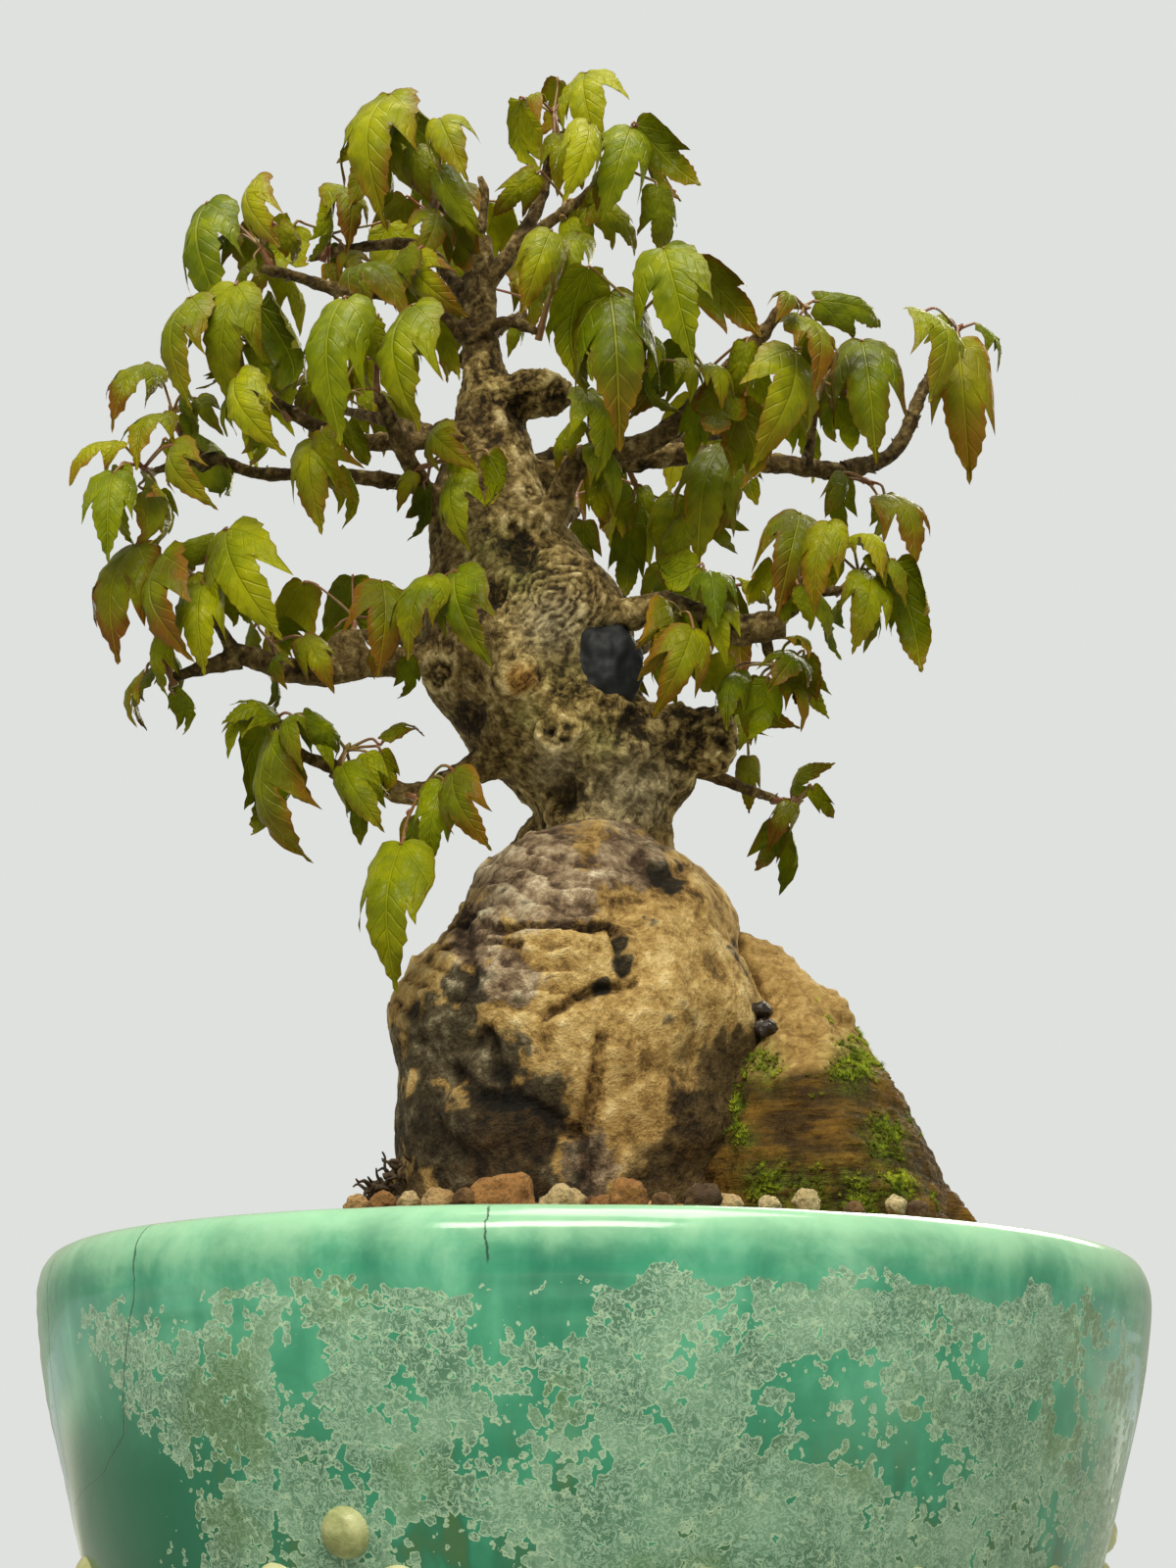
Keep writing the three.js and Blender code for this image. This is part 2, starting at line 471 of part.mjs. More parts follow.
// The blade's own axes: along the rib, out to its right, and out of its upper face, which
// looks outward and away from the hub that the petiole comes from
function bladeAxes(base, tip, turn, hub) {
  const along = tip.clone().sub(base).normalize();
  const front = base.y < BACK_FROM ? -1 : 1;
  const outward = new THREE.Vector3(base.x * SIDEWAYS, FORWARD * front, UPWARD);
  const up = outward.addScaledVector(along, -outward.dot(along)).normalize();
  up.applyAxisAngle(along, rad(turn));
  if (hub.clone().sub(base).dot(up) > 0) up.negate();
  return { along, up, right: new THREE.Vector3().crossVectors(along, up) };
}

function bladePoint(leaf, u, v, lift) {
  const arch = BLADE_ARCH * Math.sin(Math.PI * u) - BLADE_FOLD * v * v;
  return leaf.base.clone()
    .addScaledVector(leaf.along, u * leaf.length)
    .addScaledVector(leaf.right, v * leaf.length)
    .addScaledVector(leaf.up, arch * leaf.length + lift);
}

// A leaf is one closed mesh. Corners 0, 1 and 2 ring the petiole where it meets the underside
// of the blade's base. From there it drops behind the blade and then runs straight to the hub.
function leafSolid(leaf, hub) {
  const edge = BLADE_EDGE.length;
  const lobes = [BLADE_LOBE, [BLADE_LOBE[0], -BLADE_LOBE[1]]];
  const across = PETIOLE_R / leaf.length;
  const points = [
    bladePoint(leaf, 0, across, 0),
    bladePoint(leaf, 0, -across, 0),
    bladePoint(leaf, 0.08, 0, -PETIOLE_R),
    ...BLADE_EDGE.map(([u, v]) => bladePoint(leaf, u, v, 0)),
    bladePoint(leaf, ...BLADE_TIP, 0),
    ...BLADE_EDGE.map(([u, v]) => bladePoint(leaf, u, -v, 0)),
    ...[...BLADE_RIB, ...lobes].map(([u, v]) => bladePoint(leaf, u, v, BLADE_T / 2)),
    ...BLADE_RIB.map(([u, v]) => bladePoint(leaf, u, v, -BLADE_T / 2)),
  ];
  const right = 3;
  const tip = right + edge;
  const left = tip + 1;
  const top = left + edge;
  const under = top + BLADE_RIB.length + lobes.length;
  // One half of one face: b is the base corner, e the first edge corner, r the rib and l the lobe
  const outer = (e, r) => [[e + 2, r + 1, r], [e + 2, e + 3, r + 1], [e + 3, tip, r + 1]];
  const full = (b, e, r, l) => [[b, e, r], [e, l, r], [e, e + 1, l], [e + 1, e + 2, l], [e + 2, r, l],
    ...outer(e, r)];
  const flat = (b, e, r) => [[b, e, r], [e, e + 1, r], [e + 1, e + 2, r], ...outer(e, r)];
  const flip = (rows) => rows.map(([a, b, c]) => [a, c, b]);
  const faces = [
    ...full(0, right, top, top + 2), ...flip(full(1, left, top, top + 3)),
    ...flip(flat(0, right, under)), ...flat(1, left, under),
    [0, top, 1], [0, 2, under], [2, 1, under],
  ];
  const drop = leaf.base.clone().addScaledVector(leaf.up, -PETIOLE_DROP);
  const toHub = hub.clone().sub(drop).normalize();
  const bend = toHub.clone().sub(leaf.up).normalize();
  const side = leaf.right.clone();
  let from = 0;
  [[drop, bend], [hub, toHub]].forEach(([centre, along]) => {
    side.addScaledVector(along, -side.dot(along)).normalize();
    const third = side.clone().cross(along);
    const start = points.length;
    points.push(
      centre.clone().addScaledVector(side, PETIOLE_R),
      centre.clone().addScaledVector(side, -PETIOLE_R),
      centre.clone().addScaledVector(third, PETIOLE_R),
    );
    for (let i = 0; i < 3; i += 1) {
      const j = (i + 1) % 3;
      faces.push([from + i, from + j, start + j], [from + i, start + j, start + i]);
    }
    from = start;
  });
  faces.push([from, from + 1, from + 2]);
  const geometry = new THREE.BufferGeometry().setFromPoints(points);
  geometry.setIndex(faces.flat());
  return solid(geometry);
}

// A leaf from its row in the table: where its base and tip lie, before it is bent clear
function aimLeaf([bx, bz, tx, tz, reach, turn], depth, jitter) {
  const y = depth + DEPTH_SPREAD * (jitter() - 0.5);
  const base = seen(bx, bz, y);
  const tip = seen(tx, tz, y + reach);
  return { base, tip, turn: turn + TURN_SPREAD * (jitter() - 0.5) };
}

// The same leaf moved forward or back, with its axes
function placeLeaf({ base, tip, turn }, shift, hub) {
  const moved = base.clone().setY(base.y + shift);
  const end = tip.clone().setY(tip.y + shift);
  return { base: moved, length: base.distanceTo(tip), ...bladeAxes(moved, end, turn, hub) };
}

// Leaves of a back spray stand round the shoot and hang outward
function backRows(x, z, count, jitter) {
  const rows = [];
  const rule = BACK_RULE;
  for (let i = 0; i < count; i += 1) {
    const side = (i + 0.5) / count - 0.5;
    const bx = x + rule.spread * side + 4 * (jitter() - 0.5);
    const bz = z + rule.rise - rule.droop * Math.abs(side) + 6 * jitter();
    const tz = bz - rule.length - 4 * jitter();
    const reach = rule.reach + 5 * jitter();
    rows.push([bx, bz, bx + rule.splay * side, tz, reach, rule.turn * side]);
  }
  return rows;
}

function planSprays() {
  const jitter = draws(20);
  const plans = SPRAYS.map((s) => ({ ...s, rows: s.leaves }));
  BACK_SPRAYS.forEach(([name, x, z, y, count]) => {
    const rows = backRows(x, z, count, jitter);
    plans.push({ name, from: [x, z, y], hub: [x, z + 3, y + 6], depth: y + 7, rows });
  });
  return plans.map((plan) => {
    const aims = plan.rows.map((row) => aimLeaf(row, plan.depth, jitter));
    return { name: plan.name, aims, ...shootOf(plan, aims) };
  });
}

// The shoot heads for the middle of the leaves, unless its row says where it ends. Its end is
// the hub, where all petioles start.
function shootOf(plan, aims) {
  const foot = seen(...plan.from);
  if (plan.hub) {
    const hub = seen(...plan.hub);
    return { foot, hub, heading: hub.clone().sub(foot).normalize() };
  }
  const middle = new THREE.Vector3();
  aims.forEach(({ base }) => middle.addScaledVector(base, 1 / aims.length));
  const heading = middle.sub(foot).normalize();
  const nearest = Math.min(...aims.map(({ base }) => base.distanceTo(foot)));
  const hub = foot.clone().addScaledVector(heading, Math.max(SHOOT_LEAST, 0.5 * nearest));
  return { foot, heading, hub };
}

// Spots on the blade and on its stalk, with the size that sets the room round each
function spotsOf(leaf, hub) {
  const blade = ROOM_SPOTS.map(([u, v]) => ({ at: bladePoint(leaf, u, v, 0), size: leaf.length }));
  const stalk = [0.4, 0.75].map((t) => ({ at: hub.clone().lerp(leaf.base, t), size: STALK_ROOM }));
  return [...blade, ...stalk];
}

function distanceToSegment(p, a, b) {
  const line = new THREE.Line3(a, b);
  return line.closestPointToPoint(p, true, new THREE.Vector3()).distanceTo(p);
}

// Straight pieces of wood with their radius, for keeping the leaves clear of them
function woodPieces() {
  const pieces = [];
  const add = (a, b, r) => pieces.push({ a, b, r });
  [TRUNK, ROCK].forEach((rows) => {
    for (let i = 0; i + 1 < rows.length; i += 1) {
      const [z, x, y, across] = rows[i];
      const [z2, x2, y2] = rows[i + 1];
      add(new THREE.Vector3(x, y, z), new THREE.Vector3(x2, y2, z2), across);
    }
  });
  BRANCHES.forEach(({ points, from, to }) => {
    for (let i = 0; i + 1 < points.length; i += 1) {
      add(seen(...points[i]), seen(...points[i + 1]), from + (to - from) * (i / (points.length - 1)));
    }
  });
  return pieces;
}

// Room left between a leaf and everything that is already in place, or less than 0
function roomLeft(spots, placed, own, wood) {
  let least = Infinity;
  spots.forEach(({ at, size }) => {
    placed.forEach((other) => {
      least = Math.min(least, at.distanceTo(other.at) - ROOM * (size + other.size));
    });
    own.forEach((other) => {
      least = Math.min(least, at.distanceTo(other.at) - OWN_ROOM * (size + other.size));
    });
    wood.forEach(({ a, b, r }) => {
      least = Math.min(least, distanceToSegment(at, a, b) - r - ROOM * size);
    });
  });
  return least;
}

// Leaves that would cross another leaf or the wood are bent forward or back, clear of it
function bendClear(sprays) {
  const wood = woodPieces();
  const placed = [];
  sprays.forEach((spray) => {
    const own = [];
    spray.leaves = spray.aims.map((aim) => {
      let best = null;
      for (const shift of SHIFTS) {
        const leaf = placeLeaf(aim, shift, spray.hub);
        const spots = spotsOf(leaf, spray.hub);
        const room = roomLeft(spots, placed, own, wood);
        if (!best || room > best.room) best = { leaf, spots, room };
        if (room > 0) break;
      }
      own.push(...best.spots.slice(0, ROOM_SPOTS.length));
      return best.leaf;
    });
    placed.push(...own);
  });
}

function sprayBody(spray, treeGrown) {
  const end = spray.hub.clone().addScaledVector(spray.heading, HUB_END);
  const shoot = stem([spray.foot, end], SHOOT_R, HUB_R, 4, 1);
  const leaves = spray.leaves.map((leaf) => leafSolid(leaf, spray.hub));
  return mainBody(join([shoot, ...leaves]).subtract(treeGrown));
}

function makePaste(treeGrown) {
  const [x, z, y, across, deep, up] = PASTE;
  return mainBody(ball(seen(x, z, y), across, deep, up, 10, 7).subtract(treeGrown));
}

function soilSurface(r) {
  const share = Math.min(1, Math.max(0, (SOIL_RIM_R - r) / (SOIL_RIM_R - SOIL_CROWN_R)));
  return SOIL_RIM_Z + (SOIL_CROWN_Z - SOIL_RIM_Z) * share;
}

function makeSoil(treeGrown) {
  const bed = FLOOR_Z + GAP + MESH_T + GAP;
  const side = [...POT_INSIDE].reverse().slice(0, 5).map(([r, z]) => [r - GAP, z + GAP]);
  const top = [SOIL_RIM_R, SOIL_CROWN_R, 0].map((r) => [r, soilSurface(r)]);
  const profile = [[0, bed], [MESH_R + GAP, bed], [MESH_R + GAP, FLOOR_Z + GAP], ...side, ...top];
  const draw = draws(3);
  const grains = [];
  for (let i = 0; i < GRAINS; i += 1) {
    const share = Math.sqrt((i + 0.5) / GRAINS);
    const r = GRAIN_RING[0] + (GRAIN_RING[1] - GRAIN_RING[0]) * share;
    const size = GRAIN_R + GRAIN_MORE * draw();
    const grain = new THREE.IcosahedronGeometry(size, 0).rotateX(draw() * 3).rotateY(draw() * 3);
    const at = onPot(GRAIN_TURN * i, r, soilSurface(r) + 0.2 * size);
    grains.push(solid(grain.translate(at.x, at.y, at.z)));
  }
  return mainBody(join([turned(profile, ROUND_STEPS), ...grains]).subtract(rock(GAP)).subtract(treeGrown));
}

const LOOKS = {
  pot: { color: 0x5fb99b, roughness: 0.15 },
  drain_mesh: { color: 0x2c2c2e, roughness: 0.7 },
  soil: { color: 0x7a4a2e, roughness: 0.95 },
  rock: { color: 0xa98a62, roughness: 0.85 },
  tree_wood: { color: 0x7d715e, roughness: 0.85 },
  cut_paste: { color: 0x22262b, roughness: 0.45 },
  leaves: { color: 0x8fa61f, roughness: 0.45 },
};

function meshOf(name, whole, look) {
  const material = new THREE.MeshStandardMaterial({ ...LOOKS[look], metalness: 0 });
  const mesh = new THREE.Mesh(toGeometry(whole), material);
  mesh.name = name;
  return mesh;
}

function makeBonsai() {
  const group = new THREE.Group();
  const sprays = planSprays();
  bendClear(sprays);
  const treeGrown = wholeWood(GAP);
  const tree = mainBody(wholeWood(0).subtract(rock(GAP)));
  group.add(meshOf('pot', makePot(), 'pot'));
  group.add(meshOf('drain_mesh', makeDrainMesh(), 'drain_mesh'));
  group.add(meshOf('soil', makeSoil(treeGrown), 'soil'));
  group.add(meshOf('rock', rock(0), 'rock'));
  group.add(meshOf('tree_wood', tree, 'tree_wood'));
  group.add(meshOf('cut_paste', makePaste(treeGrown), 'cut_paste'));
  sprays.forEach((spray) => group.add(meshOf(spray.name, sprayBody(spray, treeGrown), 'leaves')));
  return group;
}

export default makeBonsai();
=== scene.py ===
# %% [markdown]
# # A trident maple grown over a stone
# This lesson dresses a small potted tree. Its solids come from the part, in the same frame, and
# every visible surface is then made again with the detail that a close look at the tree shows.
# Measures of the tree are in millimetres and are turned to metres where a mesh is made. Those of
# the floor and the lights are in metres.

# %% Load the part
import math
import bmesh
import bpy
import numpy as np
from mathutils import Matrix, Vector, noise
from mathutils.kdtree import KDTree


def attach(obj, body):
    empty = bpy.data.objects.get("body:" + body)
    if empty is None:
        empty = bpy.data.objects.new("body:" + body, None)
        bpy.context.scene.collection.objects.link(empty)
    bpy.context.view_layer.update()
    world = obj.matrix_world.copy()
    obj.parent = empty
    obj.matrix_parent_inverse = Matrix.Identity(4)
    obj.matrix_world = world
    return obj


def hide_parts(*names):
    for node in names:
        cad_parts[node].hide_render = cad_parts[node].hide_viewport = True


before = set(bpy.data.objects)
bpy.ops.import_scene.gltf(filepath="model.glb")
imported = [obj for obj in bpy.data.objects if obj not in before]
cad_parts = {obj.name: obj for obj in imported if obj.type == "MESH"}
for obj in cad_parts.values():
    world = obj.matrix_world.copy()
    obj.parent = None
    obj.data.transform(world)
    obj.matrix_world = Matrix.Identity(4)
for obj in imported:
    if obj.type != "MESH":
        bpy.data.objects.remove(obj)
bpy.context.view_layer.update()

MM = 0.001
BODY = "root"

# %% [markdown]
# ## Camera
# The tree was seen from low down and close by, looking slightly up. A camera is set by where it
# stands, how far it tilts and how long its lens is. The tree is also laid out from this point,
# on a plane that stands upright through the middle of the pot.

# %% Stand the camera in front of the pot
EYE = np.array([-1.5, -405.0, 31.0])
PITCH = math.radians(16.87)
ROLL = math.radians(-0.41)
SENSOR = 36.0
FOCAL_SHARE = 2450 / 1600

forward = Vector((0, math.cos(PITCH), math.sin(PITCH)))
upward = Vector((0, -math.sin(PITCH), math.cos(PITCH)))
rightward = Vector((1, 0, 0))
camera_x = rightward * math.cos(ROLL) - upward * math.sin(ROLL)
camera_y = rightward * math.sin(ROLL) + upward * math.cos(ROLL)
turn = Matrix((camera_x, camera_y, -forward)).transposed().to_4x4()

camera_data = bpy.data.cameras.new("camera")
camera_data.sensor_width = SENSOR
camera_data.lens = SENSOR * FOCAL_SHARE
camera_data.clip_start = 0.01
camera = bpy.data.objects.new("camera", camera_data)
camera.matrix_world = Matrix.Translation(Vector(EYE * MM)) @ turn
bpy.context.collection.objects.link(camera)
bpy.context.scene.camera = camera
print("lens in mm:", round(camera_data.lens, 1))

# %% [markdown]
# ## Small helpers for nodes
# Materials and repeated pieces are both made of nodes. Writing their sums as plain Python reads
# better than wiring each node by hand, so a wire knows how to add, subtract and multiply.

# %% Nodes with plain sums
class Wire:
    def __init__(self, net, socket):
        self.net = net
        self.socket = socket

    def maths(self, operation, *others):
        rows = dict(enumerate((self, *others)))
        return self.net.add("ShaderNodeMath", {"operation": operation}, rows)

    def __add__(self, other):
        return self.maths("ADD", other)

    def __sub__(self, other):
        return self.maths("SUBTRACT", other)

    def __rsub__(self, other):
        return self.maths("MULTIPLY_ADD", -1.0, other)

    def __mul__(self, other):
        return self.maths("MULTIPLY", other)

    def __truediv__(self, other):
        return self.maths("DIVIDE", other)

    __radd__ = __add__
    __rmul__ = __mul__

    def least(self, other):
        return self.maths("MINIMUM", other)

    def most(self, other):
        return self.maths("MAXIMUM", other)

    def size(self):
        return self.maths("ABSOLUTE")

    def band(self, low, high):
        """0 at low, 1 at high, and smooth between them"""
        rows = {0: self, 1: low, 2: high, 3: 0.0, 4: 1.0}
        return self.net.add("ShaderNodeMapRange", {"interpolation_type": "SMOOTHSTEP"}, rows)


class Net:
    def __init__(self, tree):
        self.tree = tree

    def add(self, kind, settings=None, values=None, out=0):
        """One more node: its settings first, then a value or a wire for each socket"""
        node = self.tree.nodes.new(kind)
        for name, value in (settings or {}).items():
            if name == "stops":
                ramp = node.color_ramp
                while len(ramp.elements) < len(value):
                    ramp.elements.new(0.5)
                for element, (place, colour) in zip(ramp.elements, value):
                    element.position = place
                    element.color = (*colour, 1.0)
            else:
                setattr(node, name, value)
        for name, value in (values or {}).items():
            socket = node.inputs[name]
            if isinstance(value, Wire):
                self.tree.links.new(value.socket, socket)
            else:
                socket.default_value = value
        return Wire(self, node.outputs[out]) if len(node.outputs) else None


class Paint(Net):
    """A material whose nodes read the place on the object"""
    def __init__(self, name):
        self.material = bpy.data.materials.new(name)
        self.material.use_nodes = True
        super().__init__(self.material.node_tree)
        self.tree.nodes.clear()
        self.place = self.add("ShaderNodeTexCoord", out="Object")

    def axes(self):
        parts = self.add("ShaderNodeSeparateXYZ", values={0: self.place})
        outputs = parts.socket.node.outputs
        return [Wire(self, outputs[i]) * 1000 for i in range(3)]

    def stretched(self, x, y, z):
        return self.add("ShaderNodeMapping", values={"Vector": self.place, "Scale": (x, y, z)})

    def grain(self, scale, detail=4, rough=0.55, twist=0.0, place=None):
        values = {"Vector": place or self.place, "Scale": scale, "Detail": detail,
                  "Roughness": rough, "Distortion": twist}
        return self.add("ShaderNodeTexNoise", {}, values)

    def cells(self, scale, feature="F1", place=None, out="Distance"):
        values = {"Vector": place or self.place, "Scale": scale}
        return self.add("ShaderNodeTexVoronoi", {"feature": feature}, values, out)

    def shaken(self, scale, amount):
        """The place, pushed about by noise, so that what is drawn there gets a ragged edge"""
        noisy = Wire(self, self.grain(scale, 2).socket.node.outputs["Color"])
        push = self.add("ShaderNodeVectorMath", {"operation": "SUBTRACT"},
                        {0: noisy, 1: (0.5, 0.5, 0.5)})
        rows = {0: push, 1: (amount * MM,) * 3, 2: self.place}
        return self.add("ShaderNodeVectorMath", {"operation": "MULTIPLY_ADD"}, rows)

    def pair(self, name):
        """A spot on one of the piece's own maps, and its two numbers"""
        spot = self.add("ShaderNodeUVMap", {"uv_map": name})
        parts = self.add("ShaderNodeSeparateXYZ", values={0: spot}).socket.node.outputs
        return spot, Wire(self, parts[0]), Wire(self, parts[1])

    def ramp(self, value, rows):
        """Colours along a value: each row is its place and its red, green and blue"""
        stops = [(place, linear(*colour)) for place, *colour in rows]
        return self.add("ShaderNodeValToRGB", {"stops": stops}, {0: value})

    def mix(self, share, a, b):
        wires = {0: share, 6: a if isinstance(a, Wire) else (*a, 1.0),
                 7: b if isinstance(b, Wire) else (*b, 1.0)}
        return self.add("ShaderNodeMix", {"data_type": "RGBA"}, wires, 2)

    def relief(self, height, depth, strength=1.0):
        """A bump whose height of 1 stands for this many millimetres"""
        values = {"Height": height, "Distance": depth * MM, "Strength": strength}
        return self.add("ShaderNodeBump", values=values)

    def end(self, values):
        shader = self.add("ShaderNodeBsdfPrincipled", values=values)
        self.show(shader)
        return self.material

    def show(self, shader):
        self.add("ShaderNodeOutputMaterial", values={"Surface": shader})


def linear(red, green, blue):
    """A colour as a screen shows it, 0 to 255, as the light that it stands for"""
    shares = np.array([red, green, blue]) / 255
    bent = ((shares + 0.055) / 1.055) ** 2.4
    return tuple(float(v) for v in np.where(shares < 0.04045, shares / 12.92, bent))


# %% [markdown]
# ## Floor and light
# A pale floor and a pale sky surround the tree. Near the pot the floor is greyer, so that the
# glaze mirrors less white. A wide light above the front makes the soft shine on the lip of the
# pot, and one from behind shines through the leaves.

# %% Lay the floor and hang the lights
def new_object(name, mesh, material=None):
    thing = bpy.data.objects.new(name, mesh)
    bpy.context.collection.objects.link(thing)
    if material:
        mesh.materials.append(material)
    return thing


def mesh_of(name, shape):
    """Keeps what was shaped as a mesh"""
    mesh = bpy.data.meshes.new(name)
    shape.to_mesh(mesh)
    shape.free()
    return mesh


FLOOR_R = 6.0
LIT_SPOT = (0, 0, 0.15)
shape = bmesh.new()
bmesh.ops.create_circle(shape, cap_ends=True, segments=96, radius=FLOOR_R)
floor_mesh = mesh_of("studio_floor", shape)
SKY = linear(223, 225, 222)
SKY_LIGHT = 0.44


def pale_paper():
    """Paper near the pot is greyer and takes shadows, and further out it fades into the sky"""
    paint = Paint("floor_paper")
    x, y = paint.axes()[:2]
    away = (x * x + y * y).maths("SQRT")
    far = away.band(450.0, 950.0)
    mottle = paint.grain(30, 3)
    near_pot = 1 - away.band(240.0, 520.0)
    pale = paint.mix(mottle, linear(216, 217, 215), linear(226, 227, 225))
    paper = paint.add("ShaderNodeBsdfPrincipled", values={
        "Base Color": paint.mix(near_pot, pale, linear(150, 152, 148)), "Roughness": 0.9})
    glow = paint.add("ShaderNodeEmission", values={"Color": (*SKY, 1.0), "Strength": 1.0})
    paint.show(paint.add("ShaderNodeMixShader", values={0: far, 1: paper, 2: glow}))
    return paint.material


floor = new_object("studio_floor", floor_mesh, pale_paper())

world = bpy.context.scene.world or bpy.data.worlds.new("sky")
bpy.context.scene.world = world
world.use_nodes = True
sky = Net(world.node_tree)
sky.tree.nodes.clear()
backdrop = sky.add("ShaderNodeBackground", values={"Color": (*SKY, 1.0), "Strength": 1.0})
dome = sky.add("ShaderNodeBackground",
               values={"Color": (*linear(255, 249, 228), 1.0), "Strength": SKY_LIGHT})
seen_by_eye = sky.add("ShaderNodeLightPath", out="Is Camera Ray")
both = sky.add("ShaderNodeMixShader", values={0: seen_by_eye, 1: dome, 2: backdrop})
sky.add("ShaderNodeOutputWorld", values={"Surface": both})


def hang_light(name, place, size, power, colour=(1, 1, 1)):
    data = bpy.data.lights.new(name, "AREA")
    data.shape = "RECTANGLE"
    data.size, data.size_y = size
    data.energy = power
    data.color = colour
    light = bpy.data.objects.new(name, data)
    aim = Vector(LIT_SPOT) - Vector(place)
    turned = aim.to_track_quat("-Z", "Y").to_matrix().to_4x4()
    light.matrix_world = Matrix.Translation(Vector(place)) @ turned
    bpy.context.collection.objects.link(light)
    return light


hang_light("front_light", (-0.12, -0.75, 0.85), (0.7, 0.3), 11.5, (1, 0.95, 0.8))
hang_light("top_light", (0.1, -0.05, 1.2), (0.6, 0.6), 8.5, (1, 0.96, 0.82))
hang_light("back_light", (0.3, 0.8, 0.7), (0.6, 0.5), 7, (1, 0.96, 0.8))
bpy.context.scene.view_settings.view_transform = "Standard"
print("lights:", len(bpy.data.lights))

# %% [markdown]
# ## The plan of the tree
# The same tables as in the part's source say where each branch and leaf lies: across and up as
# seen from the camera, with a depth. A seeded draw, repeated in the same order, gives each leaf
# the same small turn as its solid has, so the fine leaf lies on the plain one.

# %% Repeat the tables
TRUNK = [
    [138, 1.5, 6, 9, 9], [145, 1.5, 5, 12, 12], [150, 1.5, 4, 13, 13], [154, 1, 3, 16, 15],
    [159, -2, 2, 20, 16], [165, -6, 1, 20, 17], [171, -11, 1, 19.5, 17],
    [179, -12.5, 1, 20, 17.5], [188, -12.5, 2, 19, 16], [195, -15, 3, 16, 14],
    [202, -18, 3, 13.5, 12], [209, -20, 3, 10.8, 10.5], [217, -20, 3, 8.8, 8.5],
    [226, -20.5, 2, 6.4, 6.4], [236, -21.5, 2, 4.2, 4.2], [247, -22.5, 2, 3.4, 3.4],
    [256, -22.5, 2, 2.9, 2.9], [263, -22.5, 2, 2.3, 2.3],
]
ROCK = [
    [66, -3, -4, 30, 25], [77, -2, -4, 30, 26], [88, -2, -4, 31, 27], [100, -2.5, -4, 31, 28],
    [111, -3, -4, 31.4, 28], [118, -3, -3, 29.8, 27], [124, -1.5, -2, 26, 25],
    [130, 0, -1, 23.8, 22.5], [137, -1.5, 0, 19.8, 18.5], [141.5, -1, 1, 15.3, 14.5],
    [145, 0, 2, 9.5, 10],
]
MAIN_ROOT = [
    [67, 37, -12, 23.5, 25.5], [78, 36.5, -11.5, 22.3, 24.8], [88, 35.6, -9.5, 19.2, 23.4],
    [98, 34.7, -5, 16.5, 20.6], [108, 32.5, 1.5, 13.6, 16.8], [117, 29.4, 7, 12.3, 14],
    [125, 22.5, 9.5, 10.3, 11.6], [131, 14.5, 11, 9, 10], [140, 8, 11, 8.5, 9], [150, 4, 8, 8, 8],
]
ROOTS = [
    (6, 3, [[0, 10, 147], [0, 22, 134], [-4, 27, 112], [-8, 30, 90], [-10, 34, 68]]),
    (6, 3, [[-6, 8, 147], [-20, 18, 132], [-26, 20, 108], [-29, 16, 88], [-32, 8, 69]]),
    (5, 2.5, [[8, 12, 146], [20, 24, 124], [22, 32, 96], [24, 42, 67]]),
    (5, 2.5, [[44, 0, 92], [54, -6, 84], [59, -10, 77], [62, -12, 68]]),
    (3, 2, [[-27, 16, 96], [-34, 8, 83], [-40, 2, 68]]),
]
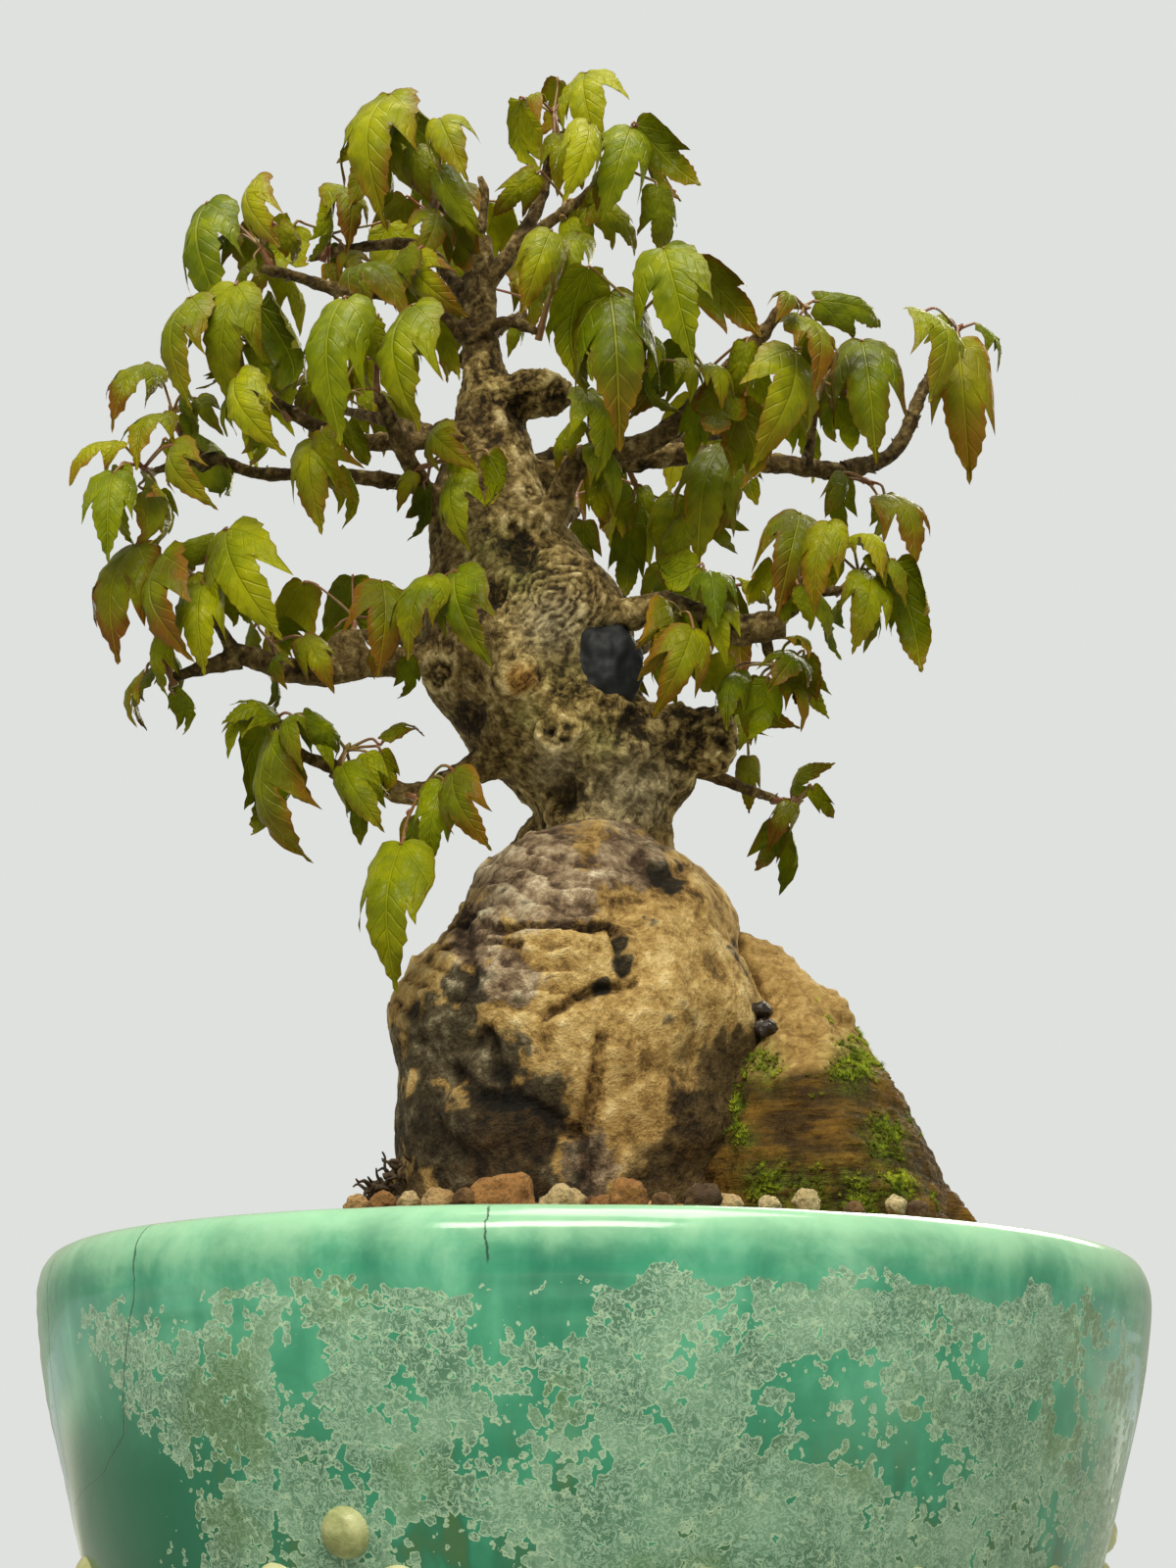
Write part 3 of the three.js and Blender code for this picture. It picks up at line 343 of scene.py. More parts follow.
BRANCHES = [
    (1.7, 1.0, [[-23, 260, 2], [-29, 268, -2], [-39, 277, -6]]),
    (1.2, 0.8, [[-23, 258, 2], [-22, 270, 0], [-23, 275, -1]]),
    (2.0, 1.0, [[-24, 248, 2], [-16, 260, 0], [-12, 268, 2], [-9, 282, 3]]),
    (1.5, 0.9, [[-16, 260, 0], [-7, 267, -4], [0, 274, -8]]),
    (1.8, 1.0, [[-24, 241, 0], [-38, 249, -6], [-50, 251, -10], [-64, 255, -14]]),
    (1.6, 0.9, [[-24, 248, 3], [-33, 259, 9], [-43, 260, 12], [-55, 257, 14]]),
    (1.6, 0.9, [[-24, 240, 0], [-18, 244, -3], [-11, 242, -5]]),
    (2.2, 1.1, [[-21, 222, 0], [-41, 219, -12], [-53, 223, -20], [-66, 231, -28]]),
    (1.9, 0.8, [[-22, 206, 0], [-40, 212, -5], [-62, 213, -12], [-72, 216, -15], [-82, 213, -17]]),
    (1.3, 0.9, [[-72, 214, -15.5], [-77, 221, -14]]),
    (2.3, 1.1, [[-30, 205, -4], [-35, 216, -14], [-41, 229, -20]]),
    (2.8, 1.2, [[-10, 202, -6], [-3, 216, -14], [10, 220, -16], [22, 232, -20], [35, 248, -26]]),
    (1.4, 0.9, [[-1, 217, -15], [4, 224, -21], [8, 238, -26]]),
    (2.9, 1.7, [[-15, 212, 4], [12, 217, 2], [35, 215, 0], [46, 214, 2]]),
    (1.7, 1.1, [[45, 214, 2], [54, 218, 4], [60, 230, 7], [65, 241, 10]]),
    (1.2, 0.8, [[38, 214, 0], [39, 220, -6], [40, 228, -10]]),
    (3.2, 2.6, [[-2, 184, -6], [11, 187, -15], [24, 183, -17], [34, 184, -18]]),
    (1.2, 0.8, [[31, 184, -18], [38, 189, -19], [44, 191, -17]]),
    (1.1, 0.8, [[30, 183, -17], [31, 177, -14]]),
    (3.0, 2.0, [[-24, 178, 0], [-40, 176, -7], [-50, 174, -10], [-66, 178, -14]]),
    (1.7, 1.0, [[-64, 177, -14], [-70, 175, -15], [-76, 173, -16]]),
    (1.2, 0.8, [[-65, 178, -14], [-70, 186, -17]]),
    (2.8, 1.0, [[-18, 158, 0], [-32, 152, -5], [-44, 156, -8], [-57, 161, -11]]),
    (1.8, 0.9, [[12, 158, 8], [22, 155, 13], [32, 151, 15]]),
    (1.0, 0.8, [[20, 156, 12], [25, 162, 17]]),
    (2.8, 1.1, [[-2, 170, 8], [6, 178, 28], [12, 182, 44]]),
    (2.5, 1.0, [[-16, 176, 8], [-32, 180, 24], [-44, 182, 36]]),
    (3.0, 1.1, [[-14, 196, 6], [-10, 200, 26], [-4, 206, 52]]),
    (2.5, 1.0, [[-21, 216, 5], [-34, 222, 24], [-48, 226, 42]]),
    (2.7, 1.0, [[-18, 214, 5], [4, 218, 22], [26, 222, 40]]),
    (2.0, 1.0, [[-24, 236, 3], [-20, 242, 18], [-14, 246, 32]]),
    (1.7, 0.9, [[-23, 252, 2], [-26, 258, 12], [-30, 262, 24]]),
]
KNOBS = [
    [-8, 189, -13, 11, 5, 9], [-15, 173.5, -15, 4.2, 3, 4.2], [-13, 204, -9, 4.5, 3, 3],
    [-7, 163, -13, 4.2, 3, 4.2], [-45, 179, -8, 3.6, 3, 3.4], [11, 162, -3, 12, 7, 7],
    [20, 162, -5, 5.5, 5, 6.5], [-12.5, 229.5, 0, 8, 5.5, 4.6],
]
SPRAYS = [
    ("spray_top_left", [-39, 277, -6], None, -10, [
        [-41, 293, -43, 268, -4, 0], [-43, 290, -48, 272, 4, -50], [-38, 288, -37, 270, 6, 30],
        [-38, 293, -31, 280, -8, 35]]),
    ("spray_top", [-29, 268, -2], None, -6, [
        [-30, 278, -25, 266, -8, 10], [-31, 267, -34, 257, -6, -40],
        [-30, 267, -23, 255, -4, 20]]),
    ("spray_left_high", [-62, 255, -13], None, -18, [
        [-75, 269, -71, 246, -4, -10], [-69, 267, -64, 252, 2, 20], [-65, 268, -60, 255, -6, 30],
        [-61, 264, -57, 256, 8, 0]]),
    ("spray_left_high_back", [-52, 258, 13], None, 12, [
        [-50, 273, -47, 261, -6, 0], [-51, 266, -54, 255, 6, -30], [-58, 264, -62, 254, -8, 0],
        [-41, 269, -37, 257, -6, 10]]),
    ("spray_left_mid_tip", [-66, 231, -28], None, -32, [
        [-77, 249, -77, 228, -3, 0], [-68, 250, -69, 227, 4, -35], [-64, 250, -58, 231, -6, 25]]),
    ("spray_left_mid", [-58, 225, -23], [-62, 231, -26], -28, [
        [-66, 228, -59, 214, -6, 20]]),
    ("spray_left_up", [-77, 221, -14], None, -20, [
        [-83, 235, -90, 224, -8, -20], [-81, 225, -85, 215, -8, -10],
        [-77, 225, -70, 216, -10, 30]]),
    ("spray_left_tip", [-82, 213, -17], None, -29, [
        [-89, 213, -89, 197, -5, -40], [-88, 214, -85, 199, 6, 0], [-85, 214, -82, 203, -10, 40],
        [-78, 217, -72, 206, -6, 30]]),
    ("spray_left_low_side", [-49, 221, -18], None, -22, [
        [-53, 220, -51, 203, -5, -20], [-51, 220, -45, 206, 4, 40]]),
    ("spray_front_left", [-41, 229, -20], None, -30, [
        [-47, 244, -48, 218, -4, 0], [-51, 240, -57, 228, 6, -30], [-42, 243, -43, 228, 8, 10],
        [-35, 246, -35, 223, -5, 15], [-32, 244, -26, 233, 6, 45]]),
    ("spray_high_front", [-38, 249, -6], None, -18, [
        [-36, 257, -26, 246, -4, 40], [-46, 254, -36, 245, -8, 0], [-34, 256, -39, 244, 8, -20]]),
    ("spray_trunk_front", [-34, 213, -11], None, -22, [
        [-31, 222, -24, 215, -8, 20], [-26, 215, -25, 201, -4, 30],
        [-20, 217, -19, 207, -4, 50]]),
    ("spray_apex", [-9, 282, 3], None, 2, [
        [-3, 298, -1, 282, -6, 10], [-8, 296, -11, 284, 8, -20], [-16, 293, -11, 276, 2, -50]]),
    ("spray_apex_right", [0, 274, -8], None, -12, [
        [6, 286, 1, 268, -5, 0], [7, 288, 19, 275, 0, 40], [9, 283, 15, 272, 6, 20],
        [11, 275, 12, 260, 8, 0], [-2, 281, -6, 266, -4, -30]]),
    ("spray_apex_low", [-7, 267, -4], None, -2, [
        [-1, 269, 7, 259, 8, 20], [-12, 272, -20, 263, 6, -40]]),
    ("spray_right_short", [-11, 242, -5], None, -14, [
        [-4, 263, -7, 250, -6, 0], [-9, 260, -14, 244, -3, -30]]),
    ("spray_right_up", [8, 238, -26], None, -34, [
        [12, 260, 17, 238, -4, 10], [18, 256, 30, 242, 2, 45], [2, 252, 4, 224, -5, 0],
        [-3, 255, -3, 230, 6, -40]]),
    ("spray_right_mid", [20, 230, -19], None, -22, [
        [16, 239, 6, 225, 6, -40], [8, 231, 14, 223, 8, 0], [23, 230, 21, 220, -8, 0],
        [26, 227, 28, 210, -3, 60], [27, 237, 25, 225, 6, 20]]),
    ("spray_right_drop", [20, 217, 1], None, -12, [
        [23, 221, 18, 199, -5, 10], [14, 212, 11, 200, 4, 0], [16, 204, 12, 192, 10, 0]]),
    ("spray_right_tip", [35, 248, -26], None, -28, [
        [38, 246, 41, 232, -6, 0], [41, 249, 53, 244, 8, 30]]),
    ("spray_far_up", [40, 228, -10], None, -14, [
        [35, 231, 29, 210, -4, -20], [49, 241, 51, 218, -4, 20], [45, 236, 42, 222, 8, 0]]),
    ("spray_far_tip", [64, 239, 9], [67, 243, 6], 3, [
        [66, 238, 67, 212, 2, 50], [59, 239, 61, 224, -8, 0]]),
    ("spray_far_flat", [46, 214, 2], None, -4, [
        [53, 210, 58, 197, -6, 0]]),
    ("spray_right_low_tip", [44, 191, -17], None, -18, [
        [46, 201, 52, 196, -10, 0], [49, 193, 46, 179, -6, 0], [54, 196, 58, 176, 0, 50],
        [43, 188, 43, 178, 8, 0]]),
    ("spray_right_low_mid", [38, 189, -19], None, -26, [
        [37, 206, 33, 189, -6, 0], [41, 200, 38, 184, -2, 40], [36, 188, 41, 178, 6, 30]]),
    ("spray_right_low_top", [22, 184, -17], [22, 190, -18], -16, [
        [18, 195, 10, 193, -10, -20], [20, 192, 21, 182, -8, 20], [26, 192, 31, 187, 8, 0]]),
    ("spray_right_low_front", [15, 186, -16], None, -26, [
        [13, 188, 8, 174, -3, -40], [15, 188, 18, 178, -8, 30], [17, 181, 11, 166, -2, -10]]),
    ("spray_right_hanging", [31, 177, -14], None, -16, [
        [25, 178, 17, 175, -8, -20], [25, 175, 23, 165, -6, 20], [29, 174, 27, 162, 5, 0],
        [36, 178, 31, 172, -9, 0], [37, 178, 36, 168, -4, 30], [37, 176, 41, 168, 6, 40]]),
    ("spray_lowest_right_up", [25, 162, 17], None, 18, [
        [25, 167, 35, 165, 6, 10], [27, 160, 27, 150, 2, 0]]),
    ("spray_lowest_right", [32, 151, 15], None, 16, [
        [34, 152, 41, 158, 4, 30], [34, 150, 30, 142, -4, 0]]),
    ("spray_left_low_tip", [-76, 173, -16], None, -16, [
        [-77, 181, -76, 168, 4, 0], [-80, 176, -82, 165, 8, 0]]),
    ("spray_left_low_up", [-70, 186, -17], None, -25, [
        [-84, 199, -87, 178, -3, -20], [-79, 197, -75, 178, -6, 20], [-68, 202, -58, 182, -4, 10],
        [-71, 201, -79, 193, 8, -20], [-71, 190, -70, 174, -4, -10]]),
    ("spray_left_low_mid", [-57, 176, -12], None, -10, [
        [-58, 184, -51, 177, 4, 30], [-62, 183, -60, 174, 8, 0]]),
    ("spray_trunk_left", [-38, 176, -7], None, -22, [
        [-39, 192, -39, 175, -3, -30], [-26, 194, -20, 177, -4, 20],
        [-30, 192, -34, 178, -6, 0]]),
    ("spray_lowest_left_tip", [-57, 161, -11], None, -14, [
        [-57, 167, -66, 165, -6, -20], [-60, 167, -60, 146, -4, -10], [-58, 162, -53, 140, 2, 20],
        [-55, 161, -51, 149, 8, 0]]),
    ("spray_lowest_left_mid", [-46, 156, -8], None, -10, [
        [-51, 163, -44, 156, 8, 20], [-44, 154, -37, 143, -5, 20], [-38, 162, -31, 164, 4, 0]]),
    ("spray_lowest_left_flat", [-34, 152, -5], None, -20, [
        [-34, 142, -35, 118, -3, 0], [-27, 153, -29, 138, 2, -10], [-25, 153, -19, 140, -4, 20]]),
    ("spray_centre", [-1, 217, -15], None, -24, [
        [-2, 232, 1, 216, -3, -20], [-4, 224, -8, 214, 6, 0]]),
    ("spray_behind_trunk", [5, 217, 3], None, 14, [
        [6, 203, 5, 189, 2, 0], [12, 206, 14, 194, 8, 20]]),
]
BACK_SPRAYS = [
    ("spray_back_low", 12, 182, 44, 3), ("spray_back_low_mid", 5, 177, 26, 2),
    ("spray_back_low_left", -44, 182, 36, 3), ("spray_back", -4, 206, 52, 4),
    ("spray_back_left", -48, 226, 42, 4), ("spray_back_right", 26, 222, 40, 4),
    ("spray_back_high", -14, 246, 32, 3), ("spray_back_top", -30, 262, 24, 3),
]
print("rows:", len(TRUNK), "trunk,", len(BRANCHES), "branches,", len(SPRAYS) + len(BACK_SPRAYS),
      "sprays")

# %% Helpers that follow the plan
def draws(seed):
    """The same repeatable draw between 0 and 1 as in the part's source"""
    state = seed
    while True:
        state = (state * 1664525 + 1013904223) % 4294967296
        yield state / 4294967296


def seen(x, z, y):
    """A point of the layout plane, pushed along its line of sight to the depth y"""
    share = (y - EYE[1]) / -EYE[1]
    return np.array([EYE[0] + (x - EYE[0]) * share, y, EYE[2] + (z - EYE[2]) * share])


def laid_out(points):
    """The way back: where points appear on the layout plane, across and up"""
    share = -EYE[1] / (points[:, 1] - EYE[1])
    return EYE[0] + (points[:, 0] - EYE[0]) * share, EYE[2] + (points[:, 2] - EYE[2]) * share


def unit(v):
    return v / np.linalg.norm(v)


def through(points, shares):
    """A smooth curve through rows of numbers, read at shares of the way from 0 to 1"""
    p = np.asarray(points, float)
    p = np.concatenate([[2 * p[0] - p[1]], p, [2 * p[-1] - p[-2]]])
    place = np.clip(shares, 0, 1) * (len(p) - 3)
    i = np.minimum(place.astype(int), len(p) - 4)
    f = (place - i).reshape(-1, *[1] * (p.ndim - 1))
    a, b, c, d = p[i], p[i + 1], p[i + 2], p[i + 3]
    bend = (2 * a - 5 * b + 4 * c - d) * f ** 2 + (3 * b - a - 3 * c + d) * f ** 3
    return 0.5 * (2 * b + (c - a) * f + bend)


def evenly(points, step):
    """The curve again, with points a step apart, and how far along each one lies"""
    fine = through(points, np.linspace(0, 1, 60 * len(points)))
    run = np.concatenate([[0], np.cumsum(np.linalg.norm(np.diff(fine[:, :3], axis=0), axis=1))])
    count = max(3, int(run[-1] / step) + 1)
    at = np.linspace(0, run[-1], count)
    return np.stack([np.interp(at, run, fine[:, k]) for k in range(fine.shape[1])], axis=1), at


print("a branch in steps:", len(evenly([seen(*p) for p in BRANCHES[0][2]], 1.0)[0]))

# %% [markdown]
# ## Where each leaf lies
# A leaf is set by the base and tip of its blade. It faces forward, up and outward, and one that
# would cross another leaf or the wood is bent clear of it, as a leaf does while it grows.

# %% Aim the leaves and bend them clear
FACING = {"back_from": 5, "forward": 0.9, "upward": 0.5, "sideways": 0.008}
BACK_RULE = {"spread": 26, "rise": 10, "droop": 16, "splay": 14, "length": 15, "reach": 5,
             "turn": 40}
DEPTH_SPREAD, TURN_SPREAD, SHOOT_LEAST = 6, 24, 4
ROOM, OWN_ROOM, STALK_ROOM = 0.11, 0.08, 6
ROOM_SPOTS = [
    (0.15, 0), (0.42, 0), (0.7, 0), (0.93, 0), (0.3, 0.22), (0.3, -0.22), (0.5, 0.38),
    (0.5, -0.38),
]
SHIFTS = [0, -3, 3, -6, 6, -9, 9, -12, 12, -15, 15]
ARCH, FOLD = 0.2, 1.1


def aim_leaf(row, depth, draw):
    base_x, base_z, tip_x, tip_z, reach, turned = row
    y = depth + DEPTH_SPREAD * (next(draw) - 0.5)
    base, tip = seen(base_x, base_z, y), seen(tip_x, tip_z, y + reach)
    return base, tip, turned + TURN_SPREAD * (next(draw) - 0.5)


def place_leaf(aim, shift, hub):
    base, tip, turned = aim
    moved = base + (0, shift, 0)
    along = unit(tip - base)
    front = -1 if moved[1] < FACING["back_from"] else 1
    outward = np.array([moved[0] * FACING["sideways"], FACING["forward"] * front, FACING["upward"]])
    up = unit(outward - along * outward.dot(along))
    angle = math.radians(turned)
    up = up * math.cos(angle) + np.cross(along, up) * math.sin(angle)
    if (hub - moved).dot(up) > 0:
        up = -up
    return {"base": moved, "length": np.linalg.norm(tip - base), "along": along, "up": up,
            "right": np.cross(along, up)}


def blade_point(leaf, u, v, lift=0.0):
    u, v = np.asarray(u, float)[..., None], np.asarray(v, float)[..., None]
    rise = (ARCH * np.sin(math.pi * u) - FOLD * v * v) * leaf["length"]
    rise = rise + np.asarray(lift)[..., None]
    flat = leaf["along"] * u * leaf["length"] + leaf["right"] * v * leaf["length"]
    return leaf["base"] + flat + leaf["up"] * rise


def back_rows(x, z, count, draw):
    rows = []
    rule = BACK_RULE
    for i in range(count):
        side = (i + 0.5) / count - 0.5
        base_x = x + rule["spread"] * side + 4 * (next(draw) - 0.5)
        base_z = z + rule["rise"] - rule["droop"] * abs(side) + 6 * next(draw)
        tip_z = base_z - rule["length"] - 4 * next(draw)
        reach = rule["reach"] + 5 * next(draw)
        rows.append((base_x, base_z, base_x + rule["splay"] * side, tip_z, reach,
                     rule["turn"] * side))
    return rows


def plan_sprays():
    draw = draws(20)
    plans = list(SPRAYS)
    for name, x, z, y, count in BACK_SPRAYS:
        plans.append((name, [x, z, y], [x, z + 3, y + 6], y + 7, back_rows(x, z, count, draw)))
    sprays = []
    for name, start, end, depth, rows in plans:
        aims = [aim_leaf(row, depth, draw) for row in rows]
        foot = seen(*start)
        if end:
            hub = seen(*end)
            heading = unit(hub - foot)
        else:
            heading = unit(np.mean([aim[0] for aim in aims], axis=0) - foot)
            nearest = min(np.linalg.norm(aim[0] - foot) for aim in aims)
            hub = foot + heading * max(SHOOT_LEAST, 0.5 * nearest)
        sprays.append({"name": name, "aims": aims, "foot": foot, "hub": hub, "heading": heading})
    return sprays


def wood_pieces():
    starts, ends, sizes = [], [], []
    for rows in (TRUNK, ROCK):
        for (z, x, y, across, _), (z2, x2, y2, _, _) in zip(rows, rows[1:]):
            starts.append((x, y, z))
            ends.append((x2, y2, z2))
            sizes.append(across)
    for thick, thin, points in BRANCHES:
        for i in range(len(points) - 1):
            starts.append(seen(*points[i]))
            ends.append(seen(*points[i + 1]))
            sizes.append(thick + (thin - thick) * i / (len(points) - 1))
    return np.array(starts, float), np.array(ends, float), np.array(sizes, float)


def room_left(spots, placed, own, wood):
    """Clear room between a leaf's spots and all that is in place, less than 0 where they meet"""
    least = math.inf
    at = np.array([spot for spot, _ in spots])
    size = np.array([share for _, share in spots])
    for others, room in ((placed, ROOM), (own, OWN_ROOM)):
        if others:
            there = np.array([spot for spot, _ in others])
            their = np.array([share for _, share in others])
            reach = room * (size[:, None] + their[None])
            gap = np.linalg.norm(at[:, None] - there[None], axis=2) - reach
            least = min(least, gap.min())
    starts, ends, radii = wood
    line = ends - starts
    share = np.einsum("sij,ij->si", at[:, None] - starts[None], line) / (line ** 2).sum(axis=1)
    nearest = starts[None] + np.clip(share, 0, 1)[..., None] * line[None]
    gap = np.linalg.norm(at[:, None] - nearest, axis=2) - radii[None] - ROOM * size[:, None]
    return min(least, gap.min())


def bend_clear(sprays):
    wood, placed = wood_pieces(), []
    for spray in sprays:
        own = []
        spray["leaves"] = []
        for aim in spray["aims"]:
            best = None
            for shift in SHIFTS:
                leaf = place_leaf(aim, shift, spray["hub"])
                spots = [(blade_point(leaf, u, v), leaf["length"]) for u, v in ROOM_SPOTS]
                stalk = [(spray["hub"] + (leaf["base"] - spray["hub"]) * t, STALK_ROOM)
                         for t in (0.4, 0.75)]
                room = room_left(spots + stalk, placed, own, wood)
                if best is None or room > best[0]:
                    best = (room, leaf, spots)
                if room > 0:
                    break
            own.extend(best[2])
            spray["leaves"].append(best[1])
        placed.extend(own)


YOUNG_LEAVES, YOUNG_TRIES, YOUNG_ROOM = 3, 12, -1.2


def add_young(sprays):
    """Small young leaves at the end of each shoot, where the others leave room"""
    draw, wood = np.random.default_rng(17), wood_pieces()
    placed = [(blade_point(leaf, u, v), leaf["length"])
              for spray in sprays for leaf in spray["leaves"] for u, v in ROOM_SPOTS]
    for spray in sprays:
        for _ in range(YOUNG_LEAVES):
            best = None
            for _ in range(YOUNG_TRIES):
                way = unit(spray["heading"] * 0.2 + draw.normal(0, 0.7, 3)
                           + (-0.3 * np.sign(spray["hub"][0]), -0.2, -0.3))
                base = spray["hub"] + way * draw.uniform(2.5, 6.5)
                tip = base + unit(way * 0.45 + draw.normal(0, 0.25, 3)
                                  + (0, 0, -1.1)) * draw.uniform(7, 13)
                leaf = place_leaf((base, tip, draw.uniform(-30, 30)), 0, spray["hub"])
                spots = [(blade_point(leaf, u, v), leaf["length"]) for u, v in ROOM_SPOTS]
                room = room_left(spots, placed, [], wood)
                if best is None or room > best[0]:
                    best = (room, leaf, spots)
            if best[0] > YOUNG_ROOM:
                spray["leaves"].append({**best[1], "young": True})
                placed.extend(best[2])


sprays = plan_sprays()
bend_clear(sprays)
add_young(sprays)
print("leaves:", sum(len(spray["leaves"]) for spray in sprays))

# %% [markdown]
# ## The leaf's finish
# A maple leaf is a thin green skin over a net of pale veins: one rib to each of the three lobes,
# and smaller ones that leave the ribs at an angle. Light shines through it. The finish reads
# three maps that each blade carries: its own place from base to tip, then how dark the leaf is
# and how far in from its edge, and last how bronze it is, with a draw. Colours from the shaded
# side and from light that passes through are mixed in one shader.

# %% Paint the leaf
LOBE_LEAN = math.atan2(0.455, 0.56)
def leaf_paint():
    paint = Paint("leaf_skin")
    spot, along, across = paint.pair("blade")
    dark, inward = paint.pair("tone")[1:]
    bronze, chance = paint.pair("flush")[1:]
    off = across.size()
    beside = (along * math.sin(LOBE_LEAN) - off * math.cos(LOBE_LEAN)).size()
    down = along * math.cos(LOBE_LEAN) + off * math.sin(LOBE_LEAN)
    rib = 1 - off.band(0.004, 0.014)
    lobe_rib = (1 - beside.band(0.003, 0.011)) * (1 - down.band(0.5, 0.72)) * down.band(-0.02, 0.02)
    wobble = paint.grain(7, 2, place=spot) * 0.035
    nearer = (beside - off).band(-0.01, 0.01)
    rib_side = (along - off * 1.15 + wobble) * nearer
    rib_side = rib_side + (down - beside * 1.1 + wobble) * (1 - nearer)
    waves = (rib_side * 8.5).maths("FRACT")
    comb = (waves - 0.5).size().band(0.36, 0.5)
    fine = 1 - paint.cells(34, "DISTANCE_TO_EDGE", place=spot).band(0.0, 0.05)
    veins = rib.most(lobe_rib).most(comb * 0.55).most(fine * 0.16)

    cloud = paint.grain(320, 3).band(0.3, 0.7)
    patch = paint.grain(75, 3).band(0.32, 0.68)
    shade = dark * 0.85 + (cloud - 0.5) * 0.22 + (patch - 0.5) * 0.3
    green = paint.ramp(shade, [
        (0.0, 160, 164, 8), (0.3, 126, 138, 3), (0.6, 92, 110, 2), (1.0, 50, 70, 2)])
    edge = 1 - inward.band(0.02, 0.4)
    tip = along.band(0.5, 1.0).most(down.band(0.42, 0.72) * (1 - beside.band(0.05, 0.16)))
    red = (edge * 0.6 + tip * 0.8 + 0.2) * bronze * (0.4 + patch * 1.1)
    red = red.least(0.9)
    blush = paint.ramp(chance, [
        (0.0, 142, 100, 14), (0.5, 112, 58, 18), (0.8, 152, 112, 16), (1.0, 118, 66, 30)])
    skin = paint.mix(red, green, blush)
    rim_line = (1 - inward.band(0.0, 0.06)) * 0.5
    skin = paint.mix(rim_line, skin, linear(104, 72, 14))
    skin = paint.mix(veins * 0.24, skin, linear(176, 176, 40))
    shine = 0.3 + (1 - veins) * 0.06 + (cloud - 0.5) * 0.16
    quilt = paint.cells(15, "SMOOTH_F1", place=spot)
    height = (1 - veins) * 0.8 + cloud * 0.15 + (1 - quilt) * 0.8
    normal = paint.relief(height, 0.34, 0.9)
    flat = paint.add("ShaderNodeBsdfPrincipled", values={
        "Base Color": skin, "Roughness": shine, "Normal": normal, "Specular IOR Level": 0.14})
    through_light = paint.mix(0.3, skin, linear(180, 180, 2))
    glow = paint.add("ShaderNodeBsdfTranslucent", values={"Color": through_light})
    paint.show(paint.add("ShaderNodeMixShader", values={0: 0.27, 1: flat, 2: glow}))
    return paint.material


leaf_skin = leaf_paint()
print("leaf skin nodes:", len(leaf_skin.node_tree.nodes))

# %% [markdown]
# ## The blade of a leaf
# Its edge is drawn once for one half: a rounded hump beside the stalk, a side lobe, a notch and
# the long middle lobe, with small teeth. Each leaf then gets its own lobes, teeth, waves and
# twist, because no two leaves are alike. Rows of points run from the rib out to the edge, once
# on the upper face and once on the underside, and meet at the edge in one closed skin.

# %% Shape the blades
HUMP = [
    (0, 0), (-0.035, 0.07), (-0.02, 0.17), (0.1, 0.27), (0.26, 0.32), (0.43, 0.375),
    (0.62, 0.455),
]
NOTCH = [(0.62, 0.455), (0.545, 0.345), (0.475, 0.235), (0.44, 0.16)]
MIDDLE = [(0.44, 0.16), (0.56, 0.185), (0.70, 0.165), (0.84, 0.105), (0.96, 0.04), (1.06, 0)]
EDGE_STEPS = (16, 6, 14)
RIB_FEET = (0.02, 0.27, 0.36, 0.97)
LAYERS = np.array([0, 0.14, 0.32, 0.52, 0.72, 0.88, 1.0])
LEAF_T = 0.28
leaf_draw = np.random.default_rng(31)


def half_edge(side_draw, edge_steps):
    """One half of the edge, a little different each time, and the foot of each point on the rib"""
    lobe_turn = math.radians(side_draw.uniform(-19, 1))
    lobe_long = side_draw.uniform(0.92, 1.12)
    broad = side_draw.uniform(0.88, 1.12)
    pieces, feet = [], []
    for number, (rows, steps) in enumerate(zip((HUMP, NOTCH, MIDDLE), edge_steps)):
        shares = np.linspace(0, 1, steps + 1)[(1 if number else 0):]
        pieces.append(through(rows, shares))
        feet.append(RIB_FEET[number] + (RIB_FEET[number + 1] - RIB_FEET[number]) * shares)
    edge, feet = np.concatenate(pieces), np.concatenate(feet)
    lobe = np.exp(-((edge[:, 0] - 0.585) ** 2 + (edge[:, 1] - 0.455) ** 2) / 0.045)
    reach = np.linalg.norm(edge, axis=1)
    angle = np.arctan2(edge[:, 1], edge[:, 0]) + lobe_turn * lobe
    reach = reach * (1 + (lobe_long - 1) * lobe)
    edge = np.stack([reach * np.cos(angle), reach * np.sin(angle)], axis=1)
    edge[:, 1] *= 1 + (broad - 1) * np.clip((edge[:, 0] - 0.4) * 4, 0, 1) * (1 - lobe)
    ahead = np.gradient(edge, axis=0)
    outward = np.stack([-ahead[:, 1], ahead[:, 0]], axis=1)
    outward /= np.linalg.norm(outward, axis=1)[:, None] + 1e-9
    count = len(edge)
    toothed = np.where(np.arange(count) > 5, 1.0, 0.25)
    toothed[[0, edge_steps[0], edge_steps[0] + edge_steps[1], count - 1]] = 0
    teeth = 0.009 * np.where(np.arange(count) % 2, 1, -0.6) * side_draw.uniform(0.4, 1.6, count)
    edge = edge + outward * (teeth * toothed)[:, None]
    edge[0] = 0
    edge[-1, 1] = 0
    return edge, feet


